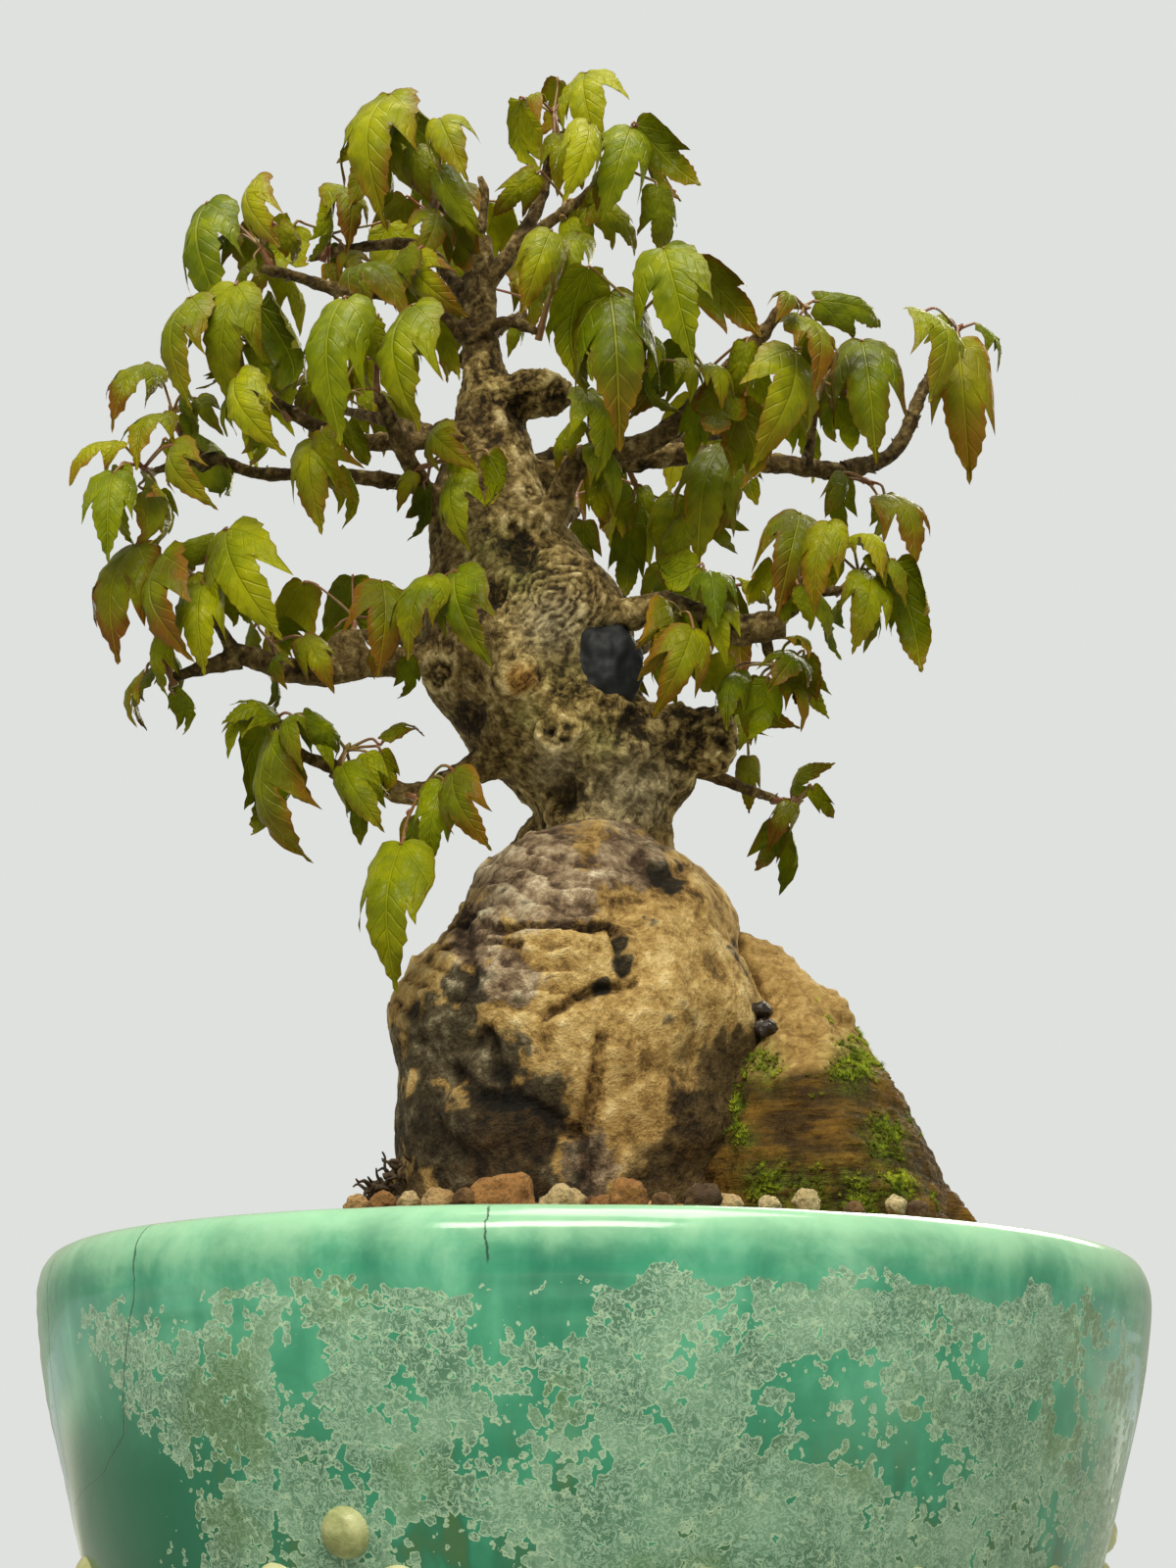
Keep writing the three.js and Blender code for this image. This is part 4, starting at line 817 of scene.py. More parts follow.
def blade_mesh(leaf, tone, bronze):
    """Corners, faces and maps of one blade"""
    draw = leaf_draw
    wave = draw.uniform(0, 2 * math.pi, 4)
    twist, droop = draw.normal(0, 0.14), draw.uniform(0.0, 0.5)
    hang = draw.uniform(2.2, 4.8)
    chance = draw.uniform()
    young = leaf.get("young", False)
    layers, steps = (LAYERS[::2], (8, 3, 7)) if young else (LAYERS, EDGE_STEPS)
    last = len(layers) - 1
    flats = []
    for side in (1, -1):
        edge, feet = half_edge(draw, steps)
        rib = np.stack([feet, np.zeros_like(feet)], axis=1)
        grid = rib[:, None] + (edge - rib)[:, None] * layers[None, :, None]
        grid[:, :, 1] *= side
        flats.append(grid)
    rows = flats[0].shape[0]
    flat = np.concatenate([flats[0].reshape(-1, 2), flats[1].reshape(-1, 2)])
    share = np.tile(np.tile(layers, rows), 2)
    u, v = flat[:, 0], flat[:, 1]
    ripple = 0.016 * np.sin(26 * u + 12 * v + wave[0]) + 0.012 * np.sin(41 * u - 20 * v + wave[1])
    bends = hang * np.where(np.arange(len(v)) < len(v) // 2, draw.uniform(0.8, 1.2),
                            draw.uniform(0.8, 1.2))
    folded = np.sin(bends * v) / bends
    lift = ripple * share ** 2 + twist * u * v - droop * np.clip(u - 0.5, 0, 1) ** 2
    lift += FOLD * folded ** 2 - (1 - np.cos(bends * v)) / bends
    lift += (0.02 * np.sin(7 * u + wave[2]) * share
             + 0.035 * np.sin(3.2 * np.abs(v) * 2.2 + wave[3]) * np.abs(v))
    beside = np.abs(u * math.sin(LOBE_LEAN) - np.abs(v) * math.cos(LOBE_LEAN))
    lift -= 0.012 * np.exp(-(v / 0.03) ** 2) + 0.008 * np.exp(-(beside / 0.03) ** 2)
    top = blade_point(leaf, u, folded, lift * leaf["length"])
    thin = LEAF_T * (1 - share ** 3)
    under = top - leaf["up"] * thin[:, None]
    points = np.concatenate([top, under])
    block = rows * (last + 1)
    corner = np.arange(2 * block).reshape(2, rows, last + 1)
    corner[1, :, 0] = corner[0, :, 0]
    corner[1, 0, :] = corner[0, 0, :]
    corner[1, -1, :] = corner[0, -1, :]
    below = corner + 2 * block
    below[:, :, last] = corner[:, :, last]
    faces = []
    for level, flip in ((corner, False), (below, True)):
        for side in (0, 1):
            g = level[side]
            sides = [g[:-1, :-1], g[1:, :-1], g[1:, 1:], g[:-1, 1:]]
            quads = np.stack(sides, axis=-1).reshape(-1, 4)
            faces.append(quads[:, ::-1] if (side == 0) != flip else quads)
    maps = {
        "blade": np.tile(flat, (2, 1)),
        "tone": np.tile(np.stack([np.full_like(u, tone), 1 - share], axis=1), (2, 1)),
        "flush": np.tile(np.stack([np.full_like(u, bronze), np.full_like(u, chance)], axis=1),
                         (2, 1)),
    }
    return points, np.concatenate(faces), maps


def put_map(mesh, name, rows):
    layer = mesh.uv_layers.new(name=name)
    corners = np.zeros(len(mesh.loops), np.int32)
    mesh.loops.foreach_get("vertex_index", corners)
    layer.data.foreach_set("uv", rows[corners].astype(np.float32).ravel())


def mesh_from(name, points, faces, maps=None, smooth=True):
    """A mesh in metres from corners in millimetres, without the corners that no face uses"""
    width = np.shape(faces)[1]
    used, faces = np.unique(faces, return_inverse=True)
    faces = faces.reshape(-1, width)
    mesh = bpy.data.meshes.new(name)
    mesh.from_pydata((np.asarray(points)[used] * MM).tolist(), [], faces.tolist())
    for key, rows in (maps or {}).items():
        put_map(mesh, key, rows[used])
    if smooth:
        mesh.shade_smooth()
    return mesh


def face_outward(mesh):
    shape = bmesh.new()
    shape.from_mesh(mesh)
    bmesh.ops.recalc_face_normals(shape, faces=shape.faces)
    shape.to_mesh(mesh)
    shape.free()


SPRAYS_A_PIECE = 4
leaf_pieces = []
for first in range(0, len(sprays), SPRAYS_A_PIECE):
    group = sprays[first:first + SPRAYS_A_PIECE]
    corners, faces, maps, total = [], [], {"blade": [], "tone": [], "flush": []}, 0
    for spray in group:
        for leaf in spray["leaves"]:
            high = leaf["base"][2]
            tone = np.clip(leaf_draw.normal(0.45, 0.2) - (high - 200) * 0.0012, 0.02, 1)
            bronze = np.clip(leaf_draw.gamma(1.5, 0.42), 0, 1)
            points, quads, rows = blade_mesh(leaf, tone, bronze)
            corners.append(points)
            faces.append(quads + total)
            total += len(points)
            for key in maps:
                maps[key].append(rows[key])
    maps = {key: np.concatenate(rows) for key, rows in maps.items()}
    name = group[0]["name"].replace("spray", "leaves")
    mesh = mesh_from(name, np.concatenate(corners), np.concatenate(faces), maps)
    face_outward(mesh)
    mesh.set_sharp_from_angle(angle=math.radians(75))
    piece = new_object(name, mesh, leaf_skin)
    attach(piece, BODY)
    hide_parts(*[spray["name"] for spray in group])
    leaf_pieces.append(piece)
print("leaf pieces:", len(leaf_pieces), "faces:", sum(len(p.data.polygons) for p in leaf_pieces))

# %% [markdown]
# ## A tree of nodes for stalks and twigs
# Stalks, twigs and fine roots all follow a line and get thinner along it. A Geometry Nodes tree
# makes that once: it turns each row of points into a curve, runs a circle along it, and scales
# the circle by a thickness that every point carries. The result is kept as a plain mesh.

# %% Make round stems from lines
def as_made(name, carrier):
    """What an object's modifiers make, kept as a plain mesh, while the object itself goes"""
    graph = bpy.context.evaluated_depsgraph_get()
    made = bpy.data.meshes.new_from_object(carrier.evaluated_get(graph))
    made.name = name
    bpy.data.objects.remove(carrier)
    return made


class Growth(Net):
    """A Geometry Nodes tree with named inputs"""
    def __init__(self, name, inputs):
        self.group = bpy.data.node_groups.new(name, "GeometryNodeTree")
        super().__init__(self.group)
        face = self.group.interface
        for label, kind in {"Geometry": "NodeSocketGeometry", **inputs}.items():
            face.new_socket(label, in_out="INPUT", socket_type=kind)
        face.new_socket("Geometry", in_out="OUTPUT", socket_type="NodeSocketGeometry")
        self.given = self.tree.nodes.new("NodeGroupInput").outputs

    def ask(self, label):
        return Wire(self, self.given[label])

    def named(self, label, kind="FLOAT"):
        """What each point carries under this name"""
        return self.add("GeometryNodeInputNamedAttribute", {"data_type": kind}, {"Name": label})

    def end(self, shape):
        real = self.add("GeometryNodeRealizeInstances", values={0: shape})
        smooth = self.add("GeometryNodeSetShadeSmooth", values={"Geometry": real})
        finish = {"Geometry": smooth, "Material": self.ask("Finish")}
        painted = self.add("GeometryNodeSetMaterial", values=finish)
        self.add("NodeGroupOutput", values={"Geometry": painted})

    def run(self, name, mesh, inputs):
        """Runs the tree on a mesh and keeps what it makes as a plain mesh"""
        carrier = new_object(name + "_lines", mesh)
        modifier = carrier.modifiers.new("growth", "NODES")
        modifier.node_group = self.group
        for item in self.group.interface.items_tree:
            if item.in_out == "INPUT" and item.name in inputs:
                modifier[item.identifier] = inputs[item.name]
        return as_made(name, carrier)


stems = Growth("stems", {"Sides": "NodeSocketInt", "Finish": "NodeSocketMaterial"})
line = stems.add("GeometryNodeMeshToCurve", values={"Mesh": stems.ask("Geometry")})
hoop = stems.add("GeometryNodeCurvePrimitiveCircle",
                 values={"Resolution": stems.ask("Sides"), "Radius": 1.0})
thick = stems.named("thickness")
stems.end(stems.add("GeometryNodeCurveToMesh", values={
    "Curve": line, "Profile Curve": hoop, "Scale": thick, "Fill Caps": True}))


def lines_mesh(name, lines):
    """A mesh of open lines. Each line is its points and its radius at each point, in mm."""
    corners, edges, radii = [], [], []
    for points, sizes in lines:
        start = len(corners)
        corners.extend((np.asarray(points) * MM).tolist())
        radii.extend((np.asarray(sizes) * MM).tolist())
        edges.extend((i, i + 1) for i in range(start, len(corners) - 1))
    mesh = bpy.data.meshes.new(name)
    mesh.from_pydata(corners, edges, [])
    mesh.attributes.new("thickness", "FLOAT", "POINT").data.foreach_set("value", radii)
    return mesh


def make_stems(name, lines, sides, material):
    return stems.run(name, lines_mesh(name + "_plan", lines), {"Sides": sides, "Finish": material})


print("sockets of the stems tree:", len(stems.group.interface.items_tree))

# %% [markdown]
# ## Stalks and young shoots
# A maple leaf hangs from a thin stalk that leaves the shoot close to its end, rises and then
# bends down with the blade's weight. Young shoots and stalks are smooth and often red. Each one
# is a line from the shoot's end to the blade, run through the tree above.

# %% Hang the leaves on their stalks
def stalk_paint():
    paint = Paint("stalk_skin")
    cloud = paint.grain(160, 2)
    fleck = paint.grain(900, 2)
    colour = paint.ramp(cloud * 1.6 - 0.3, [
        (0.0, 110, 118, 40), (0.4, 118, 92, 44), (0.75, 120, 66, 42), (1.0, 92, 50, 34)])
    colour = paint.mix(fleck.band(0.6, 0.75) * 0.35, colour, linear(178, 150, 92))
    return paint.end({"Base Color": colour, "Roughness": 0.42, "Normal": paint.relief(fleck, 0.05)})


stalk_skin = stalk_paint()
stalk_draw = np.random.default_rng(5)
stalk_lines = []
for spray in sprays:
    foot, hub, heading = spray["foot"], spray["hub"], spray["heading"]
    length = np.linalg.norm(hub - foot)
    side = unit(np.cross(heading, (0.3, 0.2, 1.0)))
    bow = side * stalk_draw.uniform(-0.08, 0.08) * length
    middle = foot + heading * length * 0.5 + bow
    shoot, run = evenly([foot - heading * 1.5, middle, hub, hub + heading * 1.6], 0.5)
    sizes = np.interp(run, [0, run[-1] - 2, run[-1] - 1, run[-1]], [0.75, 0.5, 0.65, 0.2])
    for ring in np.arange(2.5, run[-1] - 2, stalk_draw.uniform(3, 5)):
        sizes = sizes + 0.18 * np.exp(-((run - ring) / 0.35) ** 2)
    stalk_lines.append((shoot, sizes))
    for leaf in spray["leaves"]:
        base = leaf["base"] - leaf["up"] * 0.15
        span = np.linalg.norm(base - hub)
        away = unit(base - hub)
        lift = np.array([0, 0, 1.0]) * span * stalk_draw.uniform(0.05, 0.16)
        rows = [hub - away * 0.4, hub + away * span * 0.3 + lift * 0.7,
                hub + away * span * 0.7 + lift,
                base - leaf["up"] * 0.9 - leaf["along"] * 0.6, base + leaf["along"] * 0.4]
        points, run = evenly(rows, max(0.6, span / 14))
        sizes = np.interp(run, [0, 1.2, run[-1] * 0.6, run[-1]], [0.45, 0.3, 0.25, 0.3])
        stalk_lines.append((points, sizes))
stalks = new_object("leaf_stalks", make_stems("leaf_stalks", stalk_lines, 7, stalk_skin))
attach(stalks, BODY)
print("stalk faces:", len(stalks.data.polygons))

# %% [markdown]
# ## Bark
# The old trunk is grey-brown, flaky and wrinkled, the twigs are darker and smoother, and the
# thick root over the stone is coated with dried mud, tan above and wet brown below. One finish
# holds all three. Maps on the wood say for each place how thin and how muddy it is, how deep in
# a hollow, how pale, how mossy and how tan. How deep a place lies in a hollow is painted shade:
# hollows are painted darker and crests lighter.

# %% Paint the bark
def bark_paint():
    paint = Paint("bark")
    twig, mud = paint.pair("wood")[1:]
    # The relief map's first number is painted shade: it darkens hollows and lightens crests in each
    # colour below
    hollow_shade, pale = paint.pair("relief")[1:]
    moss, tan = paint.pair("stains")[1:]
    x, z = paint.axes()[::2]
    cloud = paint.grain(70, 5, 0.6).band(0.3, 0.7)
    flake = paint.grain(620, 5, 0.7, 0.5).band(0.28, 0.72)
    upright = paint.stretched(1, 1, 0.4)
    crack = paint.grain(360, 4, 0.6, 1.1, place=upright)
    shade = ((1 - hollow_shade) * 0.6 + flake * 0.4 + cloud * 0.12 - 0.5) * 1.3 + 0.47
    old = paint.ramp(shade, [
        (0.0, 14, 9, 4), (0.2, 52, 40, 19), (0.42, 120, 100, 56), (0.66, 172, 152, 98),
        (1.0, 232, 216, 166)])
    old = paint.mix(pale * 0.75, old, paint.ramp(shade, [
        (0.2, 120, 106, 78), (0.7, 208, 196, 160)]))
    old = paint.mix(moss * (0.35 + cloud * 0.4), old, paint.ramp(shade, [
        (0.2, 38, 42, 14), (0.75, 122, 128, 62)]))
    old = paint.mix(tan * 0.85, old, paint.ramp(shade, [
        (0.2, 66, 40, 14), (0.6, 150, 108, 46), (0.95, 206, 168, 96)]))
    old = paint.mix((1 - crack.band(0.3, 0.4)) * 0.45, old, linear(34, 26, 15))
    young = paint.ramp(((1 - hollow_shade) * 0.45 + flake * 0.35 + cloud * 0.25 - 0.5) * 1.4 + 0.5, [
        (0.0, 16, 10, 4), (0.35, 50, 36, 16), (0.6, 82, 64, 34), (1.0, 156, 132, 88)])
    wood = paint.mix(twig * 0.8, old, young)
    dry = paint.ramp((1 - hollow_shade) * 0.5 + flake * 0.3 + cloud * 0.24, [
        (0.0, 54, 36, 14), (0.3, 122, 93, 48), (0.55, 170, 140, 84), (0.8, 198, 172, 118),
        (1.0, 224, 206, 160)])
    lines = paint.grain(230, 5, 0.7, place=paint.stretched(0.4, 0.4, 2.4)).band(0.3, 0.7)
    wet = paint.ramp((1 - hollow_shade) * 0.45 + lines * 0.35 + cloud * 0.2, [
        (0.0, 15, 9, 2), (0.35, 62, 43, 7), (0.65, 110, 80, 18), (1.0, 160, 124, 48)])
    level = z + (paint.grain(60, 4) - 0.5) * 9 - x * 0.08
    soaked = 1 - level.band(95.0, 98.5)
    colour = paint.mix(mud, wood, paint.mix(soaked, dry, wet))
    colour = paint.mix(moss * mud * 0.75, colour, paint.ramp(flake, [
        (0.2, 30, 36, 8), (0.8, 104, 126, 30)]))
    rough = 0.9 - soaked * mud * 0.25
    height = flake * 0.8 + crack.band(0.3, 0.5) * 0.6 + lines * soaked * mud * 1.2
    return paint.end({"Base Color": colour, "Roughness": rough, "Specular IOR Level": 0.2,
                      "Normal": paint.relief(height, 0.5, 0.9)})


bark = bark_paint()
print("bark nodes:", len(bark.node_tree.nodes))

# %% [markdown]
# ## Trunk, roots and branches
# All wood is grown as one, so its parts have to melt into each other. Plain tubes and rings are
# laid into each other first, finer than in the solid. A voxel remesh then gives them one
# skin, and noise moves that skin in and out for wrinkles, knots and the rings of healed cuts.

# %% Lay rings and tubes into each other
def ring_grid(rows, steps, roughness, seed, around, up):
    """The solid's rings, with its own seeded corners, as a finer and smoother net of points"""
    draw = draws(seed)
    angles = 2 * math.pi * np.arange(steps) / steps
    rings = []
    for z, x, y, across, deep in rows:
        rough = np.array([1 + roughness * (2 * next(draw) - 1) for _ in angles])
        rings.append(np.stack([
            x + across * rough * np.cos(angles), y + deep * rough * np.sin(angles),
            np.full(steps, z)], axis=1))
    rings = through(np.array(rings), np.linspace(0, 1, up))
    wrapped = np.concatenate([rings[:, -2:], rings, rings[:, :3]], axis=1)
    at = (2 + steps * np.arange(around) / around) / (steps + 4)
    return through(wrapped.transpose(1, 0, 2), at).transpose(1, 0, 2)


def net_faces(up, around):
    base = np.arange(up * around).reshape(up, around)
    right = np.roll(base, -1, axis=1)
    return np.stack([base[:-1], right[:-1], right[1:], base[1:]], axis=-1).reshape(-1, 4).tolist()


def closed_net(name, grid):
    """A closed mesh over a net of rings, with a lid at each end"""
    up, around = grid.shape[:2]
    faces = net_faces(up, around)
    faces.append(list(range(around))[::-1])
    faces.append(list(range((up - 1) * around, up * around)))
    mesh = bpy.data.meshes.new(name)
    mesh.from_pydata((grid.reshape(-1, 3) * MM).tolist(), [], faces)
    return mesh


def one_mesh(name, meshes):
    whole = bmesh.new()
    for mesh in meshes:
        whole.from_mesh(mesh)
    return mesh_of(name, whole)


def lump_mesh(name, centre, across, deep, up, level=4):
    shape = bmesh.new()
    bmesh.ops.create_icosphere(shape, subdivisions=level, radius=1)
    for corner in shape.verts:
        corner.co = Vector(centre * MM) + Vector(corner.co * Vector((across, deep, up)) * MM)
    return mesh_of(name, shape)


def remeshed(name, mesh, voxel):
    """One skin round all that overlaps"""
    carrier = new_object(name + "_raw", mesh)
    remesh = carrier.modifiers.new("skin", "REMESH")
    remesh.mode = "VOXEL"
    remesh.voxel_size = voxel * MM
    relax = carrier.modifiers.new("relax", "SMOOTH")
    relax.iterations = 3
    relax.factor = 0.5
    return as_made(name, carrier)


def corners_of(mesh):
    points = np.zeros(len(mesh.vertices) * 3, np.float32)
    normals = np.zeros(len(mesh.vertices) * 3, np.float32)
    mesh.vertices.foreach_get("co", points)
    mesh.vertex_normals.foreach_get("vector", normals)
    return points.reshape(-1, 3).astype(float) / MM, normals.reshape(-1, 3).astype(float)


def put_corners(mesh, points):
    mesh.vertices.foreach_set("co", (points * MM).astype(np.float32).ravel())
    mesh.update()


def clouds(points, size, octaves=4):
    """Soft noise about 0, with lumps of about this many millimetres"""
    return np.array([noise.fractal(p, 0.9, 2.1, octaves) for p in (points / size).tolist()])


def ridges(points, size, octaves=4):
    """Noise with sharp crests, from 0 up to about 1"""
    rows = (points / size).tolist()
    return np.array([noise.ridged_multi_fractal(p, 0.9, 2.1, octaves, 1.0, 2.0) for p in rows]) / 2


THICK_BRANCH = 2.5
wood_draw = np.random.default_rng(12)
heart_lines = []


def branch_line(points, thick, thin):
    """Points along a branch with their radius: a flared foot, small bends and the rings that
    each year's buds have left"""
    line, run = evenly(points, 0.6)
    length = run[-1]
    sizes = thick + (thin - thick) * run / length
    sizes = sizes + 0.4 * thick * np.exp(-run / 2.2)
    place = wood_draw.uniform(3, 6)
    while place < length - 1:
        sizes = sizes + (0.12 + 0.08 * thick) * np.exp(-((run - place) / 0.7) ** 2)
        place += wood_draw.uniform(3.5, 8)
    phase = wood_draw.uniform(0, 6.28, 3)
    waves = zip((3.4, 4.1, 3.0), phase)
    waver = np.stack([np.sin(run / length_of_wave + start) for length_of_wave, start in waves],
                     axis=1)
    rise, fall = (np.minimum(1, part / 5)[:, None] for part in (run, length - run))
    line = line + waver * 0.10 * thick * rise * fall
    heart_lines.append((line, sizes))
    return line, sizes


thick_lines, thin_lines = [], []
for thick, thin, points in BRANCHES:
    row = branch_line([seen(*p) for p in points], thick, thin)
    (thick_lines if thick >= THICK_BRANCH else thin_lines).append(row)
for thick, thin, points in ROOTS:
    line, run = evenly(points, 1.0)
    sizes = thick + (thin - thick) * run / run[-1]
    sizes = sizes * (1 + 0.10 * np.sin(run / 3.1 + thick) + 0.07 * np.sin(run / 1.7))
    thick_lines.append((line, sizes))
    heart_lines.append((line, sizes))
trunk_net = ring_grid(TRUNK, steps=10, roughness=0.05, seed=11, around=72, up=130)
root_net = ring_grid(MAIN_ROOT, steps=10, roughness=0.05, seed=5, around=90, up=90)
lumps = [lump_mesh("knob", seen(x, z, y), across, deep, up) for x, z, y, across, deep, up in KNOBS]
heart_lines.extend(([seen(x, z, y)], [1.2 * across]) for x, z, y, across, deep, up in KNOBS[5:])
raw_wood = one_mesh("wood_raw", [
    closed_net("trunk_raw", trunk_net), closed_net("root_raw", root_net),
    make_stems("thick_raw", thick_lines, 14, bark), *lumps])
print("raw wood faces:", len(raw_wood.polygons))

# %% Find how thick the wood is at each place
def heart_tree():
    """Points in the heart of all wood, and the radius round each"""
    spots, sizes = [], []
    for rows in (TRUNK, MAIN_ROOT):
        table = np.array(rows, float)
        middle = np.stack([table[:, 1], table[:, 2], table[:, 0], table[:, 3]], axis=1)
        fine = through(middle, np.linspace(0, 1, 160))
        spots.extend(fine[:, :3])
        sizes.extend(fine[:, 3])
    for line, radii in heart_lines:
        spots.extend(line)
        sizes.extend(radii)
    tree = KDTree(len(spots))
    for i, spot in enumerate(spots):
        tree.insert(spot, i)
    tree.balance()
    return tree, np.array(sizes)


heart, heart_sizes = heart_tree()


def near(x, z, spot_x, spot_z, wide):
    return np.exp(-((x - spot_x) ** 2 + (z - spot_z) ** 2) / wide ** 2)


def groove(x, z, rows, wide):
    """How close points lie to a line drawn on the layout plane, 1 on it"""
    rows = np.array(rows, float)
    best = np.full(x.shape, 1e9)
    for (ax, az), (bx, bz) in zip(rows, rows[1:]):
        run_x, run_z = bx - ax, bz - az
        share = ((x - ax) * run_x + (z - az) * run_z) / (run_x ** 2 + run_z ** 2)
        share = np.clip(share, 0, 1)
        best = np.minimum(best, np.hypot(x - ax - share * run_x, z - az - share * run_z))
    return np.exp(-(best / wide) ** 2)


# %% Wrinkle the skin of the wood
HEALED = (-7.8, 188.9)
SCARS = [
    (-14.1, 173.4, 3.0), (-28.6, 174.1, 3.0), (-10.8, 203.4, 1.9), (-15.2, 203.2, 1.8),
    (-7, 163.2, 3.4), (-12.6, 210.0, 1.8), (-13.2, 218.2, 1.9),
]
HOLES = [
    (-8.2, 163.6, 0.9), (-5.6, 162.0, 0.7), (-14.3, 198.5, 2.6), (22.9, 161.8, 0.9),
    (-22.6, 166, 2.0), (-5.4, 151.8, 2.4), (-19.6, 189.5, 2.0), (-13.3, 196, 1.6),
    (6.4, 166.4, 1.6),
]
GNARLS = [(-12.5, 229.5, 8), (-17, 226, 5), (13, 162, 7), (19, 162, 6)]
PALE = [(-7, 157, 4.0), (6, 152, 8.0), (-8, 184, 6.0)]
GREEN = [(-14, 193.5, 5.0), (-5, 176, 5.0), (1.5, 162.5, 4.0), (-20, 200, 5), (-12, 166, 3)]
MOSSY = [
    (44.2, 104.8, 4.4), (49, 91.5, 4.0), (29, 83.5, 4.2), (36, 82, 4.5), (44, 82, 4.6),
    (51, 83.5, 4), (28.5, 104.5, 3.4), (24.5, 108.5, 2.2), (22.8, 98, 2.4), (24.5, 92, 2.2),
]
MUD_TOP, WET_TOP = 146, 99
WOOD_MOVE = (-3.4, 2.4)


def patches(x, z, rows):
    """0 to 1 over round patches given as middle and radius"""
    return np.max([near(x, z, *row) for row in rows], axis=0)


def wrinkle(mesh, fine):
    points, normals = corners_of(mesh)
    close = [heart.find(p) for p in points.tolist()]
    radius = heart_sizes[[c[1] for c in close]]
    size = np.clip(radius / 14, 0.08, 1)
    x, z = laid_out(points)
    front = np.clip((-points[:, 1] + 4) / 6, 0, 1)
    mud = np.clip((MUD_TOP - points[:, 2]) / 5, 0, 1) * np.clip((points[:, 0] - 4) / 6, 0, 1)
    low = np.clip((136 - points[:, 2]) / 6, 0, 1)
    mud = np.maximum(mud, low * 0.8)
    squat = points * np.array([1, 1, 0.6])
    tall = points * np.array([0.5, 0.5, 2.2])
    move = size * 1.4 * clouds(points, 11) + size * 0.9 * clouds(points + 40, 4.5)
    bark_part = 0.85 * (ridges(squat, 3.6) - 0.9) + 0.45 * (ridges(points + 5, 1.9) - 0.9)
    bark_part = size ** 0.6 * (bark_part + 0.45 * clouds(points, 1.3, 3))
    mud_part = 0.55 * clouds(points, 5.5) + 0.42 * (ridges(tall, 4.4) - 0.9)
    mud_part += 0.28 * (ridges(points, 2.0) - 0.9) + 0.22 * clouds(points, 1.2, 3)
    wetness = np.clip((WET_TOP - points[:, 2]) / 5, 0, 1)
    mud_part += wetness * 0.5 * (ridges(points * np.array([0.3, 0.3, 2.4]) + 9, 3.4, 3) - 0.9)
    detail = bark_part * (1 - mud) + mud_part * mud
    for line, wide, deep in (
            ([(23.0, 134), (24.0, 128), (25.0, 122), (27.4, 118), (28.6, 114)], 0.9, 1.6),
            ([(26.5, 111), (24.5, 104), (22.0, 95), (17, 88)], 1.6, 1.6)):
        detail -= deep * front * groove(x, z, line, wide)
    away = np.hypot(x - HEALED[0], (z - HEALED[1]) * 1.1)
    swirl = np.cos(2 * math.pi * (away + 1.6 * clouds(points, 6)) / 1.5)
    detail += front * 0.34 * swirl * np.exp(-(away / 9.5) ** 4)
    tan = np.zeros(len(x))
    for spot_x, spot_z, wide in SCARS:
        away = np.hypot(x - spot_x, z - spot_z) + 1.0 * clouds(points, 3, 3)
        ring = np.exp(-((away - wide) / 0.8) ** 2)
        inner = np.cos(2 * math.pi * away / 1.1) * np.exp(-(away / (0.9 * wide)) ** 4)
        detail += front * (0.4 * ring - 0.3 * np.exp(-((away - 0.6 * wide) / 0.5) ** 2)
                           + 0.25 * inner)
        tan = np.maximum(tan, np.exp(-(away / wide) ** 4) if spot_x == SCARS[0][0] else 0.05 * ring)
    for spot_x, spot_z, wide in HOLES:
        detail -= front * 1.5 * min(wide, 1.4) * near(x, z, spot_x, spot_z, wide)
    gnarl = front * patches(x, z, GNARLS)
    detail += gnarl * (1.1 * clouds(points + 9, 3.4, 3) + 0.8 * (ridges(points, 3.2) - 0.9))
    move = np.clip(move + detail, *WOOD_MOVE)
    put_corners(mesh, points + normals * (move * (0.75 if fine else 1))[:, None])
    twig = np.clip((4.5 - radius) / 2.5, 0, 1) * (points[:, 2] > 150)
    # Painted shade: the deeper a place lies in a hollow, the darker the bark is painted there, and
    # crests come out lighter
    hollow_shade_share = np.clip(0.36 - detail * 0.6 / np.maximum(size ** 0.5, 0.3 + 0.7 * mud), 0, 1)
    moss = front * (patches(x, z, GREEN) + patches(x, z, MOSSY))
    put_map(mesh, "wood", np.stack([twig, mud], axis=1))
    put_map(mesh, "relief", np.stack([hollow_shade_share, front * patches(x, z, PALE)], axis=1))
    put_map(mesh, "stains", np.stack([np.clip(moss, 0, 1), front * tan], axis=1))


def wood_piece(name, mesh, voxel, fine):
    skin = remeshed(name, mesh, voxel)
    wrinkle(skin, fine)
    skin.shade_smooth()
    skin.materials.clear()
    piece = new_object(name, skin, bark)
    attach(piece, BODY)
    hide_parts("tree_wood")
    print(name, "triangles:", 2 * len(skin.polygons))
    return piece


TRUNK_VOXEL, TWIG_VOXEL = 0.7, 0.44
trunk_piece = wood_piece("trunk_and_roots", raw_wood, TRUNK_VOXEL, False)
raw_twigs = one_mesh("twigs_raw", [make_stems("thin_raw", thin_lines, 12, bark)])
twig_piece = wood_piece("twigs", raw_twigs, TWIG_VOXEL, True)
